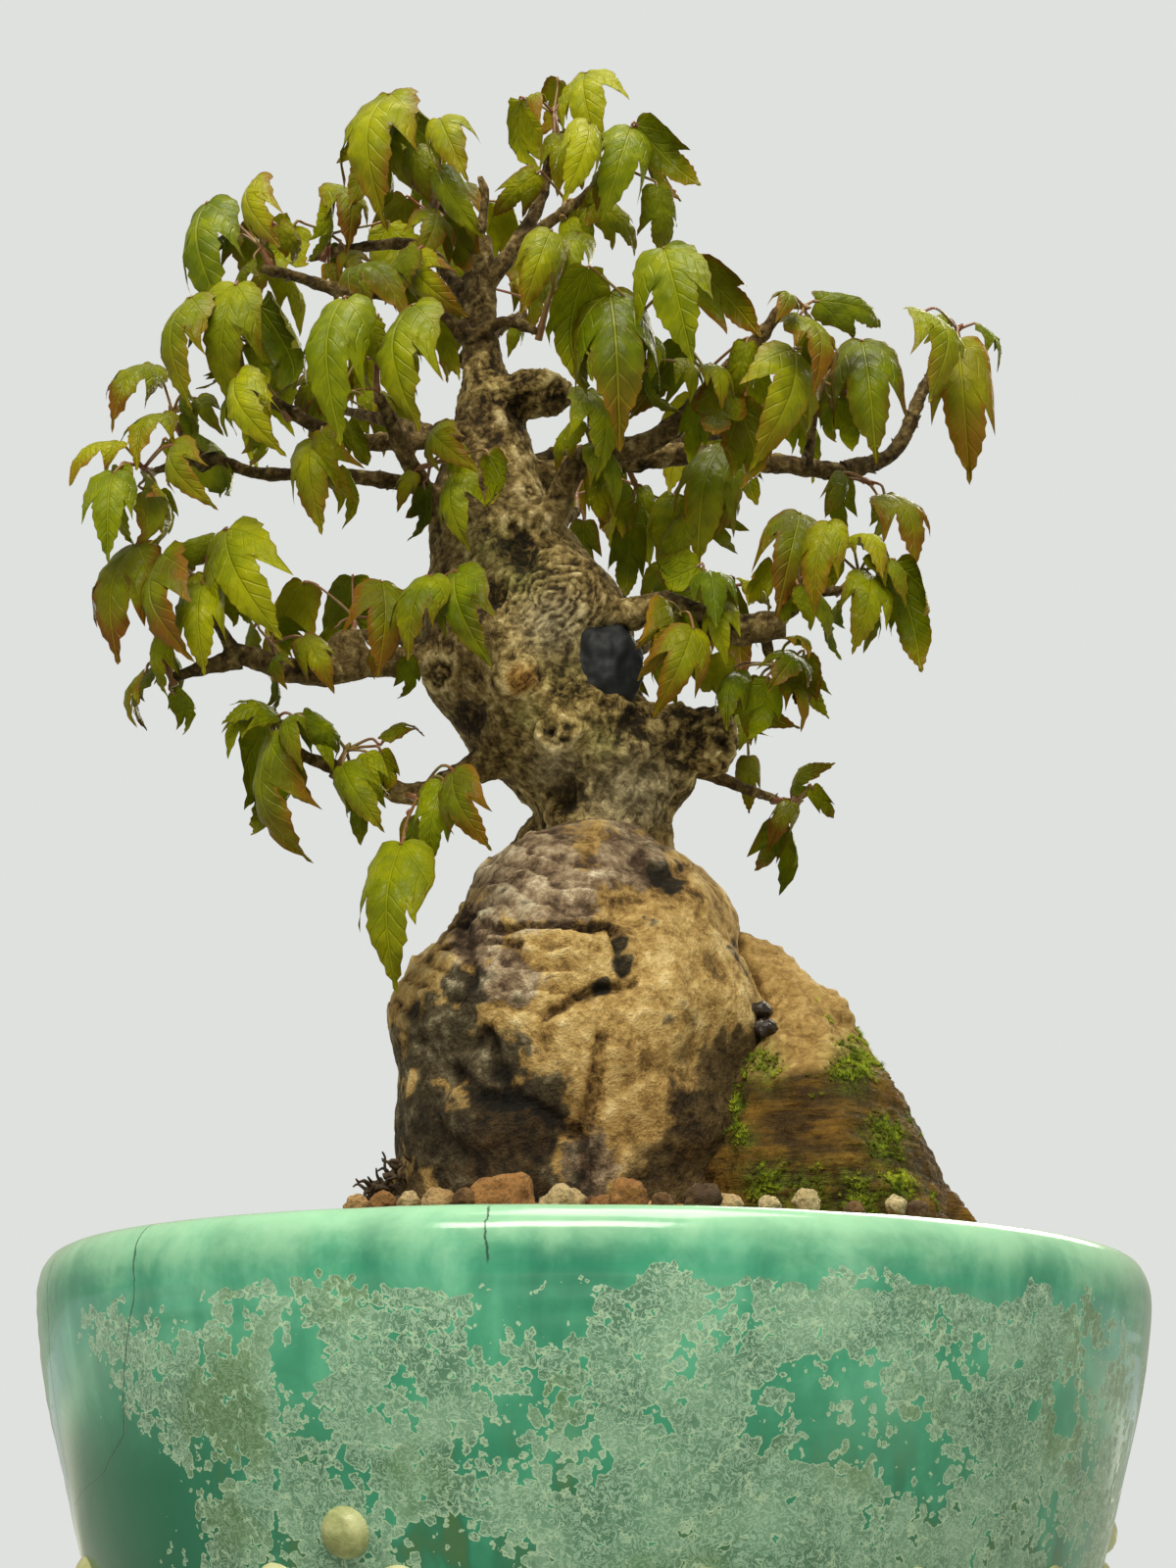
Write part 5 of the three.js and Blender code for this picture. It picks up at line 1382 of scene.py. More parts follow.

# %% [markdown]
# ## The stone
# A rounded stone with a rough, weathered face: tan and ochre on the right, purple-grey at the
# top left and nearly black low on the left, where it stays wet. Its net follows the solid's
# rings. Noise makes the bulges, chipped faces of two sizes lean this way and that, and ledges,
# streaks and grain lie over them. Cracks are lines that push the skin in. Painted shade darkens
# the hollows and the cracks, and crests are painted lighter.

# %% Paint and shape the stone
def stone_paint():
    paint = Paint("stone")
    plum_part, coal_part = paint.pair("tints")[1:]
    # The relief map's first number is painted shade: hollows are painted darker and crests lighter
    hollow_shade, moist = paint.pair("relief")[1:]
    cloud = paint.grain(85, 5, 0.62, 0.4).band(0.3, 0.7)
    speck = paint.grain(300, 5, 0.7, 0.3).band(0.28, 0.72)
    grit = paint.grain(900, 4, 0.75).band(0.25, 0.75)
    shade = ((1 - hollow_shade) * 0.5 + speck * 0.3 + grit * 0.2 + cloud * 0.22 - 0.55) * 1.35 + 0.45
    tan = paint.ramp(shade, [
        (0.0, 40, 28, 13), (0.22, 112, 86, 46), (0.45, 168, 137, 80), (0.7, 200, 172, 114),
        (1.0, 234, 214, 164)])
    plum = paint.ramp(shade, [
        (0.0, 26, 19, 14), (0.3, 82, 64, 48), (0.55, 132, 112, 88), (0.78, 176, 158, 130),
        (1.0, 216, 204, 178)])
    coal = paint.ramp(shade, [
        (0.0, 6, 5, 3), (0.35, 28, 25, 17), (0.6, 62, 56, 42), (0.82, 108, 100, 80),
        (1.0, 166, 158, 134)])
    ragged = (cloud - 0.5) * 0.5 + (speck - 0.5) * 0.35
    colour = paint.mix((plum_part + ragged).band(0.32, 0.62), tan, plum)
    # The coal map is the stone's own black low on the left and painted shade along the cracks
    colour = paint.mix((coal_part + ragged).band(0.25, 0.6) * 0.95, colour, coal)
    colour = paint.mix((moist + ragged * 0.6).band(0.2, 0.6) * 0.85, colour, paint.ramp(shade, [
        (0.3, 8, 5, 2), (0.9, 74, 53, 18)]))
    pits = 1 - paint.cells(420, place=paint.shaken(700, 1.2)).band(0.12, 0.4)
    height = speck * 0.8 + grit * 0.6 + cloud * 0.3 - pits * 0.35
    return paint.end({"Base Color": colour, "Roughness": 0.9 - moist * 0.2,
                      "Specular IOR Level": 0.25, "Normal": paint.relief(height, 0.6, 1.0)})


stone = stone_paint()
CRACKS = [
    ([(-19, 128.4), (-15.2, 127.6), (-8.1, 128.2), (2.9, 127.8)], 0.7, 2.2),
    ([(2.9, 127.8), (4.1, 124.6), (4.8, 120.0)], 0.9, 1.8),
    ([(-8.6, 112.5), (-3.6, 115.1), (0.1, 117.0), (6.5, 118.4)], 0.7, 1.8),
    ([(-23.4, 130.5), (-22.4, 124), (-21.5, 118.4)], 1.2, 1.4),
    ([(8, 140.5), (11, 137.5), (15, 138)], 1.4, 1.4),
    ([(-24, 103), (-19, 98), (-10, 97), (-3, 92)], 1.1, 1.3),
    ([(-26, 124.5), (-20, 125.6), (-13, 124.2)], 0.6, 1.2),
    ([(-27, 128), (-21, 129.6)], 0.5, 1.0),
    ([(-18, 110), (-16, 103), (-13.5, 99)], 0.8, 1.2),
    ([(1, 108), (0, 100), (-2, 92), (-1, 84)], 0.9, 1.0),
]
PLUM = [
    (-10, 139, 12), (-14.7, 119, 5.5), (5.4, 141.3, 6.5), (-21, 127, 6), (-2, 86, 6),
    (-5, 133, 6),
]
# Nearly black patches: the broad ones low on the left are the stone's own dark colour, and the
# small ones that lie on the cracks are painted shade in the cracks
COAL_AND_CRACK_SHADE = [
    (-27, 108, 8), (-29, 93, 8), (-20, 88, 9), (-12, 96, 8), (-17, 104, 7), (4.4, 126, 1.6),
    (5, 121.5, 1.5), (12, 138, 1.7), (13.5, 136.4, 1.6), (-8, 83, 6), (-14, 88, 10),
    (1.5, 117.4, 1.4), (-23, 117, 4),
]
MOIST = [
    (24, 103, 7), (19, 94, 8), (16, 84, 9), (6, 80, 5), (23, 86, 8), (-30, 80, 6), (-15, 82, 9),
    (-14, 91, 7),
]


def chips(points, size, sharp=14):
    """Chipped faces: round each cell's heart the surface leans its own way, and the leans blend
    where cells meet"""
    lifts = []
    for place in map(Vector, (points / size).tolist()):
        gaps, hearts = noise.voronoi(place)
        total = share_sum = 0.0
        for gap, spot in zip(gaps[:3], hearts):
            share = math.exp(-sharp * (gap - gaps[0]))
            lean = noise.cell_vector(spot) * 2 - Vector((1, 1, 1))
            total += share * lean.dot(place - spot)
            share_sum += share
        lifts.append(total / share_sum)
    return np.array(lifts) * size


STONE_MOVE, STONE_LID = (-3.5, 1.8), 145.2
stone_net = ring_grid(ROCK, steps=16, roughness=0.035, seed=7, around=284, up=184)
stone_mesh = closed_net("stone", stone_net)
stone_mesh.shade_smooth()
points, normals = corners_of(stone_mesh)
x, z = laid_out(points)
front = np.clip((-points[:, 1] + 2) / 8, 0, 1)
bent = points + np.stack([clouds(points + 31 * k, 9, 2) for k in range(3)], axis=1) * 2.2
move = 0.9 * clouds(points, 15, 2) + 0.14 * chips(bent, 15)
slope = z + 0.25 * x + 2.0 * clouds(points, 9, 3)
upper_left = np.clip((z - 106) / 10, 0, 1) * np.clip((4 - x) / 10, 0, 1)
ledges = (slope / 4.2) % 1.0
detail = 0.055 * chips(bent + 17, 6.5)
detail += upper_left * 0.45 * (ledges - 0.5) + 0.11 * (ridges(bent, 3.2, 3) - 0.9)
streak = np.stack([0.3 * (0.64 * x - 0.77 * z), points[:, 1], 0.77 * x + 0.64 * z], axis=1)
detail += 0.16 * (ridges(streak, 3.4, 3) - 0.9) * np.clip((x + 8) / 8, 0, 1)
detail += 0.16 * clouds(points, 1.9, 2)
for line, wide, deep in CRACKS:
    detail -= front * deep * groove(x, z + 0.9 * clouds(points, 4), line, wide)
lid_calm = np.clip((STONE_LID - points[:, 2]) / 2.5, 0.05, 1)
shift = np.clip(move + detail, *STONE_MOVE) * lid_calm
put_corners(stone_mesh, points + normals * shift[:, None])
fray = 0.35 * clouds(points, 6, 4) + 0.3 * clouds(points, 2.2, 3)
plum_share = np.clip(patches(x, z, PLUM) * 1.25 + fray, 0, 1)
# The stone's own black patches together with the painted shade in the cracks
coal_share = np.clip(patches(x, z, COAL_AND_CRACK_SHADE) * 1.2 + fray, 0, 1) * np.clip(front + 0.5, 0, 1)
moist_share = np.clip(patches(x, z, MOIST) * 1.1 + fray, 0, 1)
put_map(stone_mesh, "tints", np.stack([plum_share, coal_share], axis=1))
# Painted shade: how deep each place lies in a hollow, kept in the relief map
put_map(stone_mesh, "relief", np.stack([np.clip(0.4 - detail * 1.25, 0, 1), moist_share], axis=1))
stone_piece = new_object("stone", stone_mesh, stone)
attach(stone_piece, BODY)
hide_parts("rock")
print("stone faces:", len(stone_mesh.polygons))

# %% [markdown]
# ## The glaze
# The bowl carries a turquoise glaze that is pale where it is thin, on the lip, and has grown
# crystals lower down: grey-olive patches with pale rims, like lichen. Darker glass has run
# down between them. Small cells that join where noise is dense make the patches, and a narrow
# band inside their edge makes the rim. Hairlines follow rows of height and angle.

# %% Paint the glaze
CRACK_FROM, CRACK_TO, CRACK_TURN = 30.0, 70.0, 100.0
WALL_R = 86
GLAZE_CRACKS = [
    (31, 69, [(31.5, -69.95), (35.8, -57.0), (41.1, -51.0), (53.7, -47.9), (60, -46.0),
              (69, -46.5)]),
    (35, 69, [(30, -71.5), (36, -70.9), (46.3, -68.8), (57.5, -66.7), (68.2, -66.6)]),
    (61.5, 69, [(60, -9.1), (66.8, -9.4), (70, -9.3)]),
]


def glaze_paint(name, cream):
    paint = Paint(name)
    x, y, z = paint.axes()
    cloud = paint.grain(85, 5, 0.62, 0.3).band(0.3, 0.7)
    run = paint.grain(60, 4, 0.6, 0.5, place=paint.stretched(1, 1, 0.22)).band(0.3, 0.7)
    speck = paint.grain(700, 3, 0.7)
    clear = paint.ramp(cloud * 0.4 + run * 0.6, [
        (0.0, 36, 122, 96), (0.45, 60, 150, 118), (0.75, 86, 170, 138), (1.0, 114, 190, 158)])
    thin = (z + (cloud - 0.5) * 4).band(60, 69.5)
    clear = paint.mix(thin * 0.7, clear, linear(164, 208, 174))
    deep = paint.mix(run.band(0.4, 0.8), linear(14, 104, 80), linear(64, 92, 40))
    clear = paint.mix((1 - z.band(32, 48)) * run.band(0.2, 0.6) * 0.8, clear, deep)
    ragged = paint.shaken(900, 1.5)
    blob = paint.cells(640, place=ragged)
    large = paint.grain(30, 4, 0.55, 0.3).band(0.36, 0.64)
    middle = paint.grain(120, 3, 0.6, 0.4).band(0.32, 0.68)
    dense = large * 0.62 + middle * 0.42 - (z + (middle - 0.5) * 5).band(59, 63) * 1.2 + 0.02
    dense = dense + (x.band(-72, -44) - 1) * 0.4 + (1 - z.band(28, 44)) * 0.1 + 0.1
    # Painted shade: the lower left of the bowl is painted a deep teal, with fewer crystals and no
    # coat
    shaded = (1 - z.band(34, 47)) * (1 - x.band(-60, -40))
    dense = dense - shaded * 0.6
    inside = dense.band(0.21, 0.6) * 0.66 + dense.band(0.5, 0.88) * 0.25 - blob
    patch = inside.band(0.0, 0.05)
    # The deep teal of the painted shade at the lower left
    clear = paint.mix(shaded * 0.95, clear, linear(8, 104, 76))
    rim = patch * (1 - inside.band(0.07, 0.2))
    curl = (paint.grain(760, 3, 0.6, 1.6) - 0.5).size()
    squiggle = 1 - curl.band(0.01, 0.07)
    crystal = paint.ramp(cloud * 0.6 + speck * 0.4, [
        (0.0, 62, 104, 82), (0.35, 88, 128, 104), (0.6, 112, 152, 126), (1.0, 142, 174, 150)])
    olive = paint.grain(48, 3, 0.5).band(0.52, 0.66)
    crystal = paint.mix(olive * 0.5, crystal, linear(86, 116, 44))
    crystal = paint.mix(squiggle * 0.75 * (1 - olive * 0.5), crystal, linear(168, 202, 178))
    crystal = paint.mix(rim * 0.8, crystal, linear(178, 206, 176))
    colour = paint.mix(patch * 0.94, clear, crystal)
    colour = paint.mix(cream, colour, paint.ramp(cloud, [
        (0.0, 118, 124, 62), (0.4, 186, 188, 132), (1.0, 216, 216, 172)]))
    around = x.maths("ARCTAN2", y * -1) * (180 / math.pi)
    line = None
    for low, high, track in GLAZE_CRACKS:
        height_share = (z - CRACK_FROM) / (CRACK_TO - CRACK_FROM)
        stops = [((h - CRACK_FROM) / (CRACK_TO - CRACK_FROM), ((a + CRACK_TURN) / 200,) * 3)
                 for h, a in track]
        bend = paint.add("ShaderNodeValToRGB", {"stops": stops}, {0: height_share})
        turn = bend * 200 - CRACK_TURN
        off = (around - turn + (cloud - 0.5) * 0.7).size() * (WALL_R * math.pi / 180)
        hair = (1 - off.band(0.06, 0.22)) * z.band(low, low + 1) * (1 - z.band(high, high + 1))
        line = hair if line is None else line.most(hair)
    colour = paint.mix(line * (0.85 - cream * 0.85), colour, linear(30, 58, 44))
    rough = 0.16 + patch * 0.2 + (speck - 0.5) * 0.08
    height = 1 - patch * 0.25 + rim * 0.3 + squiggle * patch * 0.2 + cloud * 0.15 - line * 0.5
    return paint.end({
        "Base Color": colour, "Roughness": rough,
        "Coat Weight": (0.25 - patch * 0.15) * (1 - shaded),
        "Coat Roughness": 0.05, "Specular IOR Level": 0.36,
        "Normal": paint.relief(height, 0.25, 0.5)})


glaze = glaze_paint("glaze", 0.0)
stud_glaze = glaze_paint("stud_glaze", 0.9)
print("glaze nodes:", len(glaze.node_tree.nodes))

# %% [markdown]
# ## The bowl
# The bowl was thrown on a wheel, so one profile spun round the middle gives its wall, its thick
# lip and its inside. Slow waves of a fraction of a millimetre keep it from looking machined.
# Three blocks with rounded edges are its feet.

# %% Spin the bowl
BOWL = [
    (8, 8), (40, 8), (62, 8), (71, 10.8), (76.8, 16), (79.8, 22), (82, 28.5), (84.4, 37),
    (87, 46), (88.6, 53), (89.6, 59), (90, 63), (89.7, 66), (88.4, 68.7), (86.4, 69.9),
    (84.4, 69.7), (82.9, 68.4), (82.1, 65.5), (81, 60), (77.5, 41), (71, 24), (63, 16.5),
    (54, 14), (30, 14), (8, 14),
]
BOWL_AROUND = 240


def spun(profile, around):
    """A net of rings: rows of radius and height, spun round the upright middle"""
    angles = 2 * math.pi * np.arange(around) / around
    return np.stack([
        profile[:, None, 0] * np.cos(angles), profile[:, None, 0] * np.sin(angles),
        np.broadcast_to(profile[:, None, 1], (len(profile), around))], axis=-1)


def bowl_part(rows, step):
    return evenly([(r, 0, z) for r, z in rows], step)[0]


profile = np.concatenate([
    bowl_part(BOWL[:10], 2.0)[:-1], bowl_part(BOWL[9:19], 0.8), bowl_part(BOWL[18:], 4.0)[1:]])
bowl_net = spun(profile[:, [0, 2]], BOWL_AROUND)
up = len(bowl_net)
ring = np.arange(BOWL_AROUND)
following, last_ring = np.roll(ring, -1), (up - 1) * BOWL_AROUND
closing = np.stack([ring + last_ring, following + last_ring, following, ring], axis=1)
bowl_faces = np.concatenate([net_faces(up, BOWL_AROUND), closing])
bowl_mesh = mesh_from("bowl_raw", bowl_net.reshape(-1, 3), bowl_faces)
face_outward(bowl_mesh)
points, normals = corners_of(bowl_mesh)
outer = (np.hypot(points[:, 0], points[:, 1]) > 60) & (points[:, 2] > 9)
throwing = 0.05 * np.sin(points[:, 2] * 1.9 + 2 * clouds(points, 60, 2))
throwing = throwing + 0.25 * clouds(points, 28, 3)
put_corners(bowl_mesh, points + normals * (np.clip(throwing, -0.4, 0.0) * outer)[:, None])


FOOT_HIGH, FOOT_ROUND = 22, 1.6


def foot_mesh(angle):
    """A foot of the bowl: a block with all its edges rounded, wider outside than inside"""
    shape = bmesh.new()
    outline = [(58, -8), (75, -10.6), (78.3, -7), (79.2, 0), (78.3, 7), (75, 10.6), (58, 8)]
    low = [shape.verts.new((r * MM, t * MM, 0)) for r, t in outline]
    high = [shape.verts.new((r * MM, t * MM, FOOT_HIGH * MM)) for r, t in outline]
    shape.faces.new(low)
    shape.faces.new(high)
    for i in range(len(outline)):
        j = (i + 1) % len(outline)
        shape.faces.new((low[i], low[j], high[j], high[i]))
    bmesh.ops.recalc_face_normals(shape, faces=shape.faces)
    edges = [e for e in shape.edges if e.calc_length() > 1 * MM]
    bmesh.ops.bevel(shape, geom=edges, offset=FOOT_ROUND * MM, segments=4, profile=0.5,
                    affect="EDGES")
    bmesh.ops.rotate(shape, verts=shape.verts,
                     matrix=Matrix.Rotation(math.radians(angle - 90), 3, "Z"))
    return mesh_of("foot", shape)


FOOT_ANGLES = [-23.5, 89, 211]
bowl = new_object("bowl", one_mesh("bowl", [bowl_mesh, *[foot_mesh(a) for a in FOOT_ANGLES]]),
                  glaze)
bowl.data.shade_smooth()
bowl.data.set_sharp_from_angle(angle=math.radians(50))
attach(bowl, BODY)
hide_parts("pot")
print("bowl faces:", len(bowl.data.polygons))

# %% [markdown]
# ## Studs
# A row of small round studs runs round the foot of the bowl, and one sits higher over each of
# its feet. They repeat, so one stud is made and a Geometry Nodes tree sets it on each point,
# turned outward.

# %% Set the studs
studs = Growth("studs", {
    "Stud": "NodeSocketObject", "Size": "NodeSocketFloat", "Finish": "NodeSocketMaterial"})
info = studs.add("GeometryNodeObjectInfo", values={"Object": studs.ask("Stud")}, out=4)
facing = studs.add("FunctionNodeAlignRotationToVector", {"axis": "Z"},
                   {"Vector": studs.named("outward", "FLOAT_VECTOR")})
studs.end(studs.add("GeometryNodeInstanceOnPoints", values={
    "Points": studs.ask("Geometry"), "Instance": info, "Rotation": facing,
    "Scale": studs.ask("Size")}))

STUD_R = 3.65
HIGH_STUD, LOW_STUD = (81.8, 28.5), (79.5, 21.3)
LOW_STUD_ANGLES = [-8.5, 5, 34, 56, 78]
places, outward = [], []
for foot_angle in FOOT_ANGLES:
    low_studs = [(foot_angle + a, LOW_STUD) for a in LOW_STUD_ANGLES]
    for angle, (r, z) in [(foot_angle, HIGH_STUD)] + low_studs:
        way = np.array([math.sin(math.radians(angle)), -math.cos(math.radians(angle)), 0])
        places.append((way * (r - 0.6) + (0, 0, z)) * MM)
        outward.append(way)
stud_shape = bmesh.new()
bmesh.ops.create_uvsphere(stud_shape, u_segments=20, v_segments=12, radius=1)
for corner in stud_shape.verts:
    corner.co.z *= 0.85
one_stud = new_object("one_stud", mesh_of("one_stud", stud_shape))
stud_plan = bpy.data.meshes.new("stud_plan")
stud_plan.from_pydata([tuple(p) for p in places], [], [])
stud_plan.attributes.new("outward", "FLOAT_VECTOR", "POINT").data.foreach_set(
    "vector", np.array(outward, np.float32).ravel())
stud_piece = new_object("studs", studs.run("studs", stud_plan, {
    "Stud": one_stud, "Size": STUD_R * MM, "Finish": stud_glaze}))
bpy.data.objects.remove(one_stud)
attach(stud_piece, BODY)
print("studs:", len(places))

# %% [markdown]
# ## Healing paste
# The largest cut on the trunk is sealed with a dark paste, pressed on by hand: nearly black, a
# little blue, and almost matt. A ball is flattened, and noise dents it as a thumb does.

# %% Press on the paste
PASTE = (1, 175.5, -11, 6.8, 5, 8.2)


def paste_paint():
    paint = Paint("cut_paste")
    cloud, fine = paint.grain(140, 4), paint.grain(900, 4, 0.7)
    colour = paint.ramp(cloud * 0.6 + fine * 0.4, [
        (0.3, 8, 10, 13), (0.5, 15, 18, 23), (0.7, 21, 25, 31), (1.0, 66, 66, 64)])
    return paint.end({"Base Color": colour, "Roughness": 0.66 + (cloud - 0.5) * 0.3,
                      "Specular IOR Level": 0.35,
                      "Normal": paint.relief(cloud + fine * 0.4, 0.25, 0.6)})


paste_mesh = lump_mesh("healing_paste", seen(*PASTE[:3]), *[r * 1.02 for r in PASTE[3:]], level=5)
paste_mesh.shade_smooth()
points, normals = corners_of(paste_mesh)
dents = 0.9 * clouds(points, 4, 3) + 0.08 * clouds(points, 1.4, 2)
put_corners(paste_mesh, points + normals * dents[:, None])
paste = new_object("healing_paste", paste_mesh, paste_paint())
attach(paste, BODY)
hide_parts("cut_paste")
print("paste faces:", len(paste_mesh.polygons))

# %% [markdown]
# ## Soil
# The soil is a mass of fired clay grains that rises from the rim of the bowl to the stone. Its
# body is spun like the bowl and made lumpy on top, and loose grains are scattered over it.

# %% Fill the bowl
SOIL_RIM, SOIL_CROWN = (80.4, 66), (33, 76.5)


def soil_height(r):
    share = np.clip((SOIL_RIM[0] - r) / (SOIL_RIM[0] - SOIL_CROWN[0]), 0, 1)
    return SOIL_RIM[1] + (SOIL_CROWN[1] - SOIL_RIM[1]) * share


def soil_paint(name, dark, light, spread):
    paint = Paint(name)
    kind = paint.cells(spread, out="Color")
    pick = paint.add("ShaderNodeSeparateXYZ", values={0: kind})
    cloud, fine = paint.grain(160, 4), paint.grain(1300, 4, 0.7)
    colour = paint.ramp(pick * 0.8 + cloud * 0.3, [
        (0.0, *dark), (0.35, 96, 60, 30), (0.62, 134, 94, 50), (1.0, *light)])
    colour = paint.mix((1 - fine.band(0.3, 0.5)) * 0.5, colour, linear(40, 26, 16))
    return paint.end({"Base Color": colour, "Roughness": 0.92,
                      "Normal": paint.relief(fine + cloud, 0.4, 0.8)})


soil_finish = soil_paint("soil", (44, 28, 18), (176, 140, 92), 420)
SOIL_BED = [(40, 15.2), (53.7, 14.3), (62.7, 16.8), (70.7, 24.3), (77.2, 41.3), (80.2, 60)]
SOIL_AROUND, SOIL_STEPS = 200, 60
top_r = np.linspace(SOIL_RIM[0], 0.0, SOIL_STEPS)[:-1]
soil_profile = np.concatenate([SOIL_BED, np.stack([top_r, soil_height(top_r)], axis=1)])
soil_mesh = closed_net("soil_mass", spun(soil_profile, SOIL_AROUND))
face_outward(soil_mesh)
soil_mesh.shade_smooth()
points, normals = corners_of(soil_mesh)
upper = np.clip((points[:, 2] - 64) / 2, 0, 1) * (np.hypot(points[:, 0], points[:, 1]) < 80)
move = 0.8 * clouds(points, 3.5) + 0.8 * (ridges(points, 2.5) - 0.8)
put_corners(soil_mesh, points + np.array([0, 0, 1.0]) * (move * upper)[:, None])
soil = new_object("soil_mass", soil_mesh, soil_finish)
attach(soil, BODY)
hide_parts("soil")
print("soil faces:", len(soil_mesh.polygons))

# %% [markdown]
# ## Loose grains
# A Geometry Nodes tree scatters points over the soil, sets a small lump on each, and turns and
# scales it by chance, with a fixed seed.

# %% Scatter the grains
def sown(name, tilted):
    """A tree of nodes that sets one thing on many points of a skin, where a mask allows it:
    turned by chance, or tilted between the skin's own direction and straight up"""
    tree = Growth(name, {
        "Thing": "NodeSocketObject", "Density": "NodeSocketFloat", "Smallest": "NodeSocketFloat",
        "Largest": "NodeSocketFloat", "Seed": "NodeSocketInt", "Finish": "NodeSocketMaterial"})
    seed = tree.ask("Seed")
    density = tree.ask("Density") * tree.named("where")
    dots = tree.add("GeometryNodeDistributePointsOnFaces", {}, {
        "Mesh": tree.ask("Geometry"), "Density": density, "Seed": seed})
    scale = tree.add("FunctionNodeRandomValue", {"data_type": "FLOAT"}, {
        2: tree.ask("Smallest"), 3: tree.ask("Largest"), "Seed": seed}, 1)
    low, high = ((-0.6, -0.6, 0.1), (0.6, 0.6, 1.3)) if tilted else ((0.0,) * 3, (6.28,) * 3)
    turn = tree.add("FunctionNodeRandomValue", {"data_type": "FLOAT_VECTOR"}, {
        0: low, 1: high, "Seed": seed})
    if tilted:
        skin_way = Wire(tree, dots.socket.node.outputs["Normal"])
        way = tree.add("ShaderNodeVectorMath", {"operation": "ADD"}, {0: skin_way, 1: turn})
        turn = tree.add("FunctionNodeAlignRotationToVector", {"axis": "Z"}, {"Vector": way})
    thing = tree.add("GeometryNodeObjectInfo", values={"Object": tree.ask("Thing")}, out=4)
    tree.end(tree.add("GeometryNodeInstanceOnPoints", values={
        "Points": dots, "Instance": thing, "Rotation": turn, "Scale": scale}))
    return tree


scatter = sown("scatter", False)


def put_value(mesh, name, values):
    values = np.asarray(values, np.float32)
    mesh.attributes.new(name, "FLOAT", "POINT").data.foreach_set("value", values)


def dented_ball(level, dent, drift, octaves):
    """A ball of radius 1 that noise has dented"""
    shape = bmesh.new()
    bmesh.ops.create_icosphere(shape, subdivisions=level, radius=1)
    for corner in shape.verts:
        lift = noise.fractal(corner.co * 1.1 + Vector(drift), 0.9, 2.1, octaves)
        corner.co *= 1 + dent * lift
    return shape


plan = soil_mesh.copy()
points, _ = corners_of(plan)
far = np.hypot(points[:, 0], points[:, 1])
put_value(plan, "where", (points[:, 2] > 65) * (far < 79.5) * (far > 8))
pebble = dented_ball(2, 0.42, (7.3, 0, 0), 3)
for corner in pebble.verts:
    corner.co.z *= 0.8
one_pebble = new_object("one_pebble", mesh_of("one_pebble", pebble))
grains = new_object("loose_grains", scatter.run("loose_grains", plan, {
    "Thing": one_pebble, "Density": 45000.0, "Smallest": 0.7 * MM, "Largest": 2.0 * MM, "Seed": 4,
    "Finish": soil_finish}))
bpy.data.objects.remove(one_pebble)
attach(grains, BODY)
print("grain faces:", len(grains.data.polygons))

# %% [markdown]
# ## Coarse stones at the rim
# Fired clay, pumice and lava in bigger lumps lie just inside the lip, where the photograph looks
# over it. Each is a dented ball, laid at its own place in the soil, and one finish with a map of
# two numbers gives each its own colour.

# %% Lay the coarse stones
RIM_STONES = [
    (-40.2, 2.1, 0.9, 0.6), (-35.8, 2.0, 1.3, 0.45), (-31.2, 1.8, 1.0, 0.8), (-26.1, 2.5, 1.4, 0.7),
    (-15.2, 5.4, 3.3, 0.5), (-5.3, 3.6, 1.4, 0.85), (5.7, 3.0, 2.3, 0.5), (18.2, 3.0, 2.1, 0.12),
    (22.8, 2.2, 1.0, 0.8), (29.5, 1.7, 0.9, 0.92), (36.2, 2.1, 1.8, 0.95), (52.5, 1.7, 1.9, 0.95),
    (56.4, 2.2, 1.5, 0.15), (-21.6, 1.8, 1.2, 0.3), (11.4, 1.7, 0.8, 0.3), (44.6, 1.6, 0.8, 0.25),
]
# How far out the stones lie, how near to the eye, and how high
RIM_R, RIM_FRONT, RIM_HIGH = 77.2, 74, 72.0

def lump_paint():
    paint = Paint("fired_lump")
    kind, chance = paint.pair("kind")[1:]
    cloud = paint.grain(240, 4, 0.6).band(0.3, 0.7)
    fine = paint.grain(1400, 4, 0.75).band(0.25, 0.75)
    base = paint.ramp(kind, [
        (0.0, 30, 24, 15), (0.3, 84, 56, 28), (0.5, 134, 90, 42), (0.75, 160, 130, 80),
        (1.0, 186, 168, 122)])
    light = paint.ramp(kind, [
        (0.0, 72, 60, 40), (0.5, 196, 148, 82), (1.0, 232, 222, 186)])
    colour = paint.mix(cloud * 0.5 + (chance - 0.5) * 0.3, base, light)
    colour = paint.mix((1 - fine.band(0.1, 0.55)) * 0.55, colour, linear(48, 32, 18))
    return paint.end({"Base Color": colour, "Roughness": 0.93,
                      "Normal": paint.relief(fine + cloud, 0.35, 0.9)})


def pebble_points(seed, level):
    """Corners and faces of a dented ball of radius 1"""
    shape = dented_ball(level, 0.3, (seed * 7.3, seed * 1.7, 0), 4)
    points = np.array([corner.co[:] for corner in shape.verts])
    faces = [[corner.index for corner in face.verts] for face in shape.faces]
    shape.free()
    return points, faces


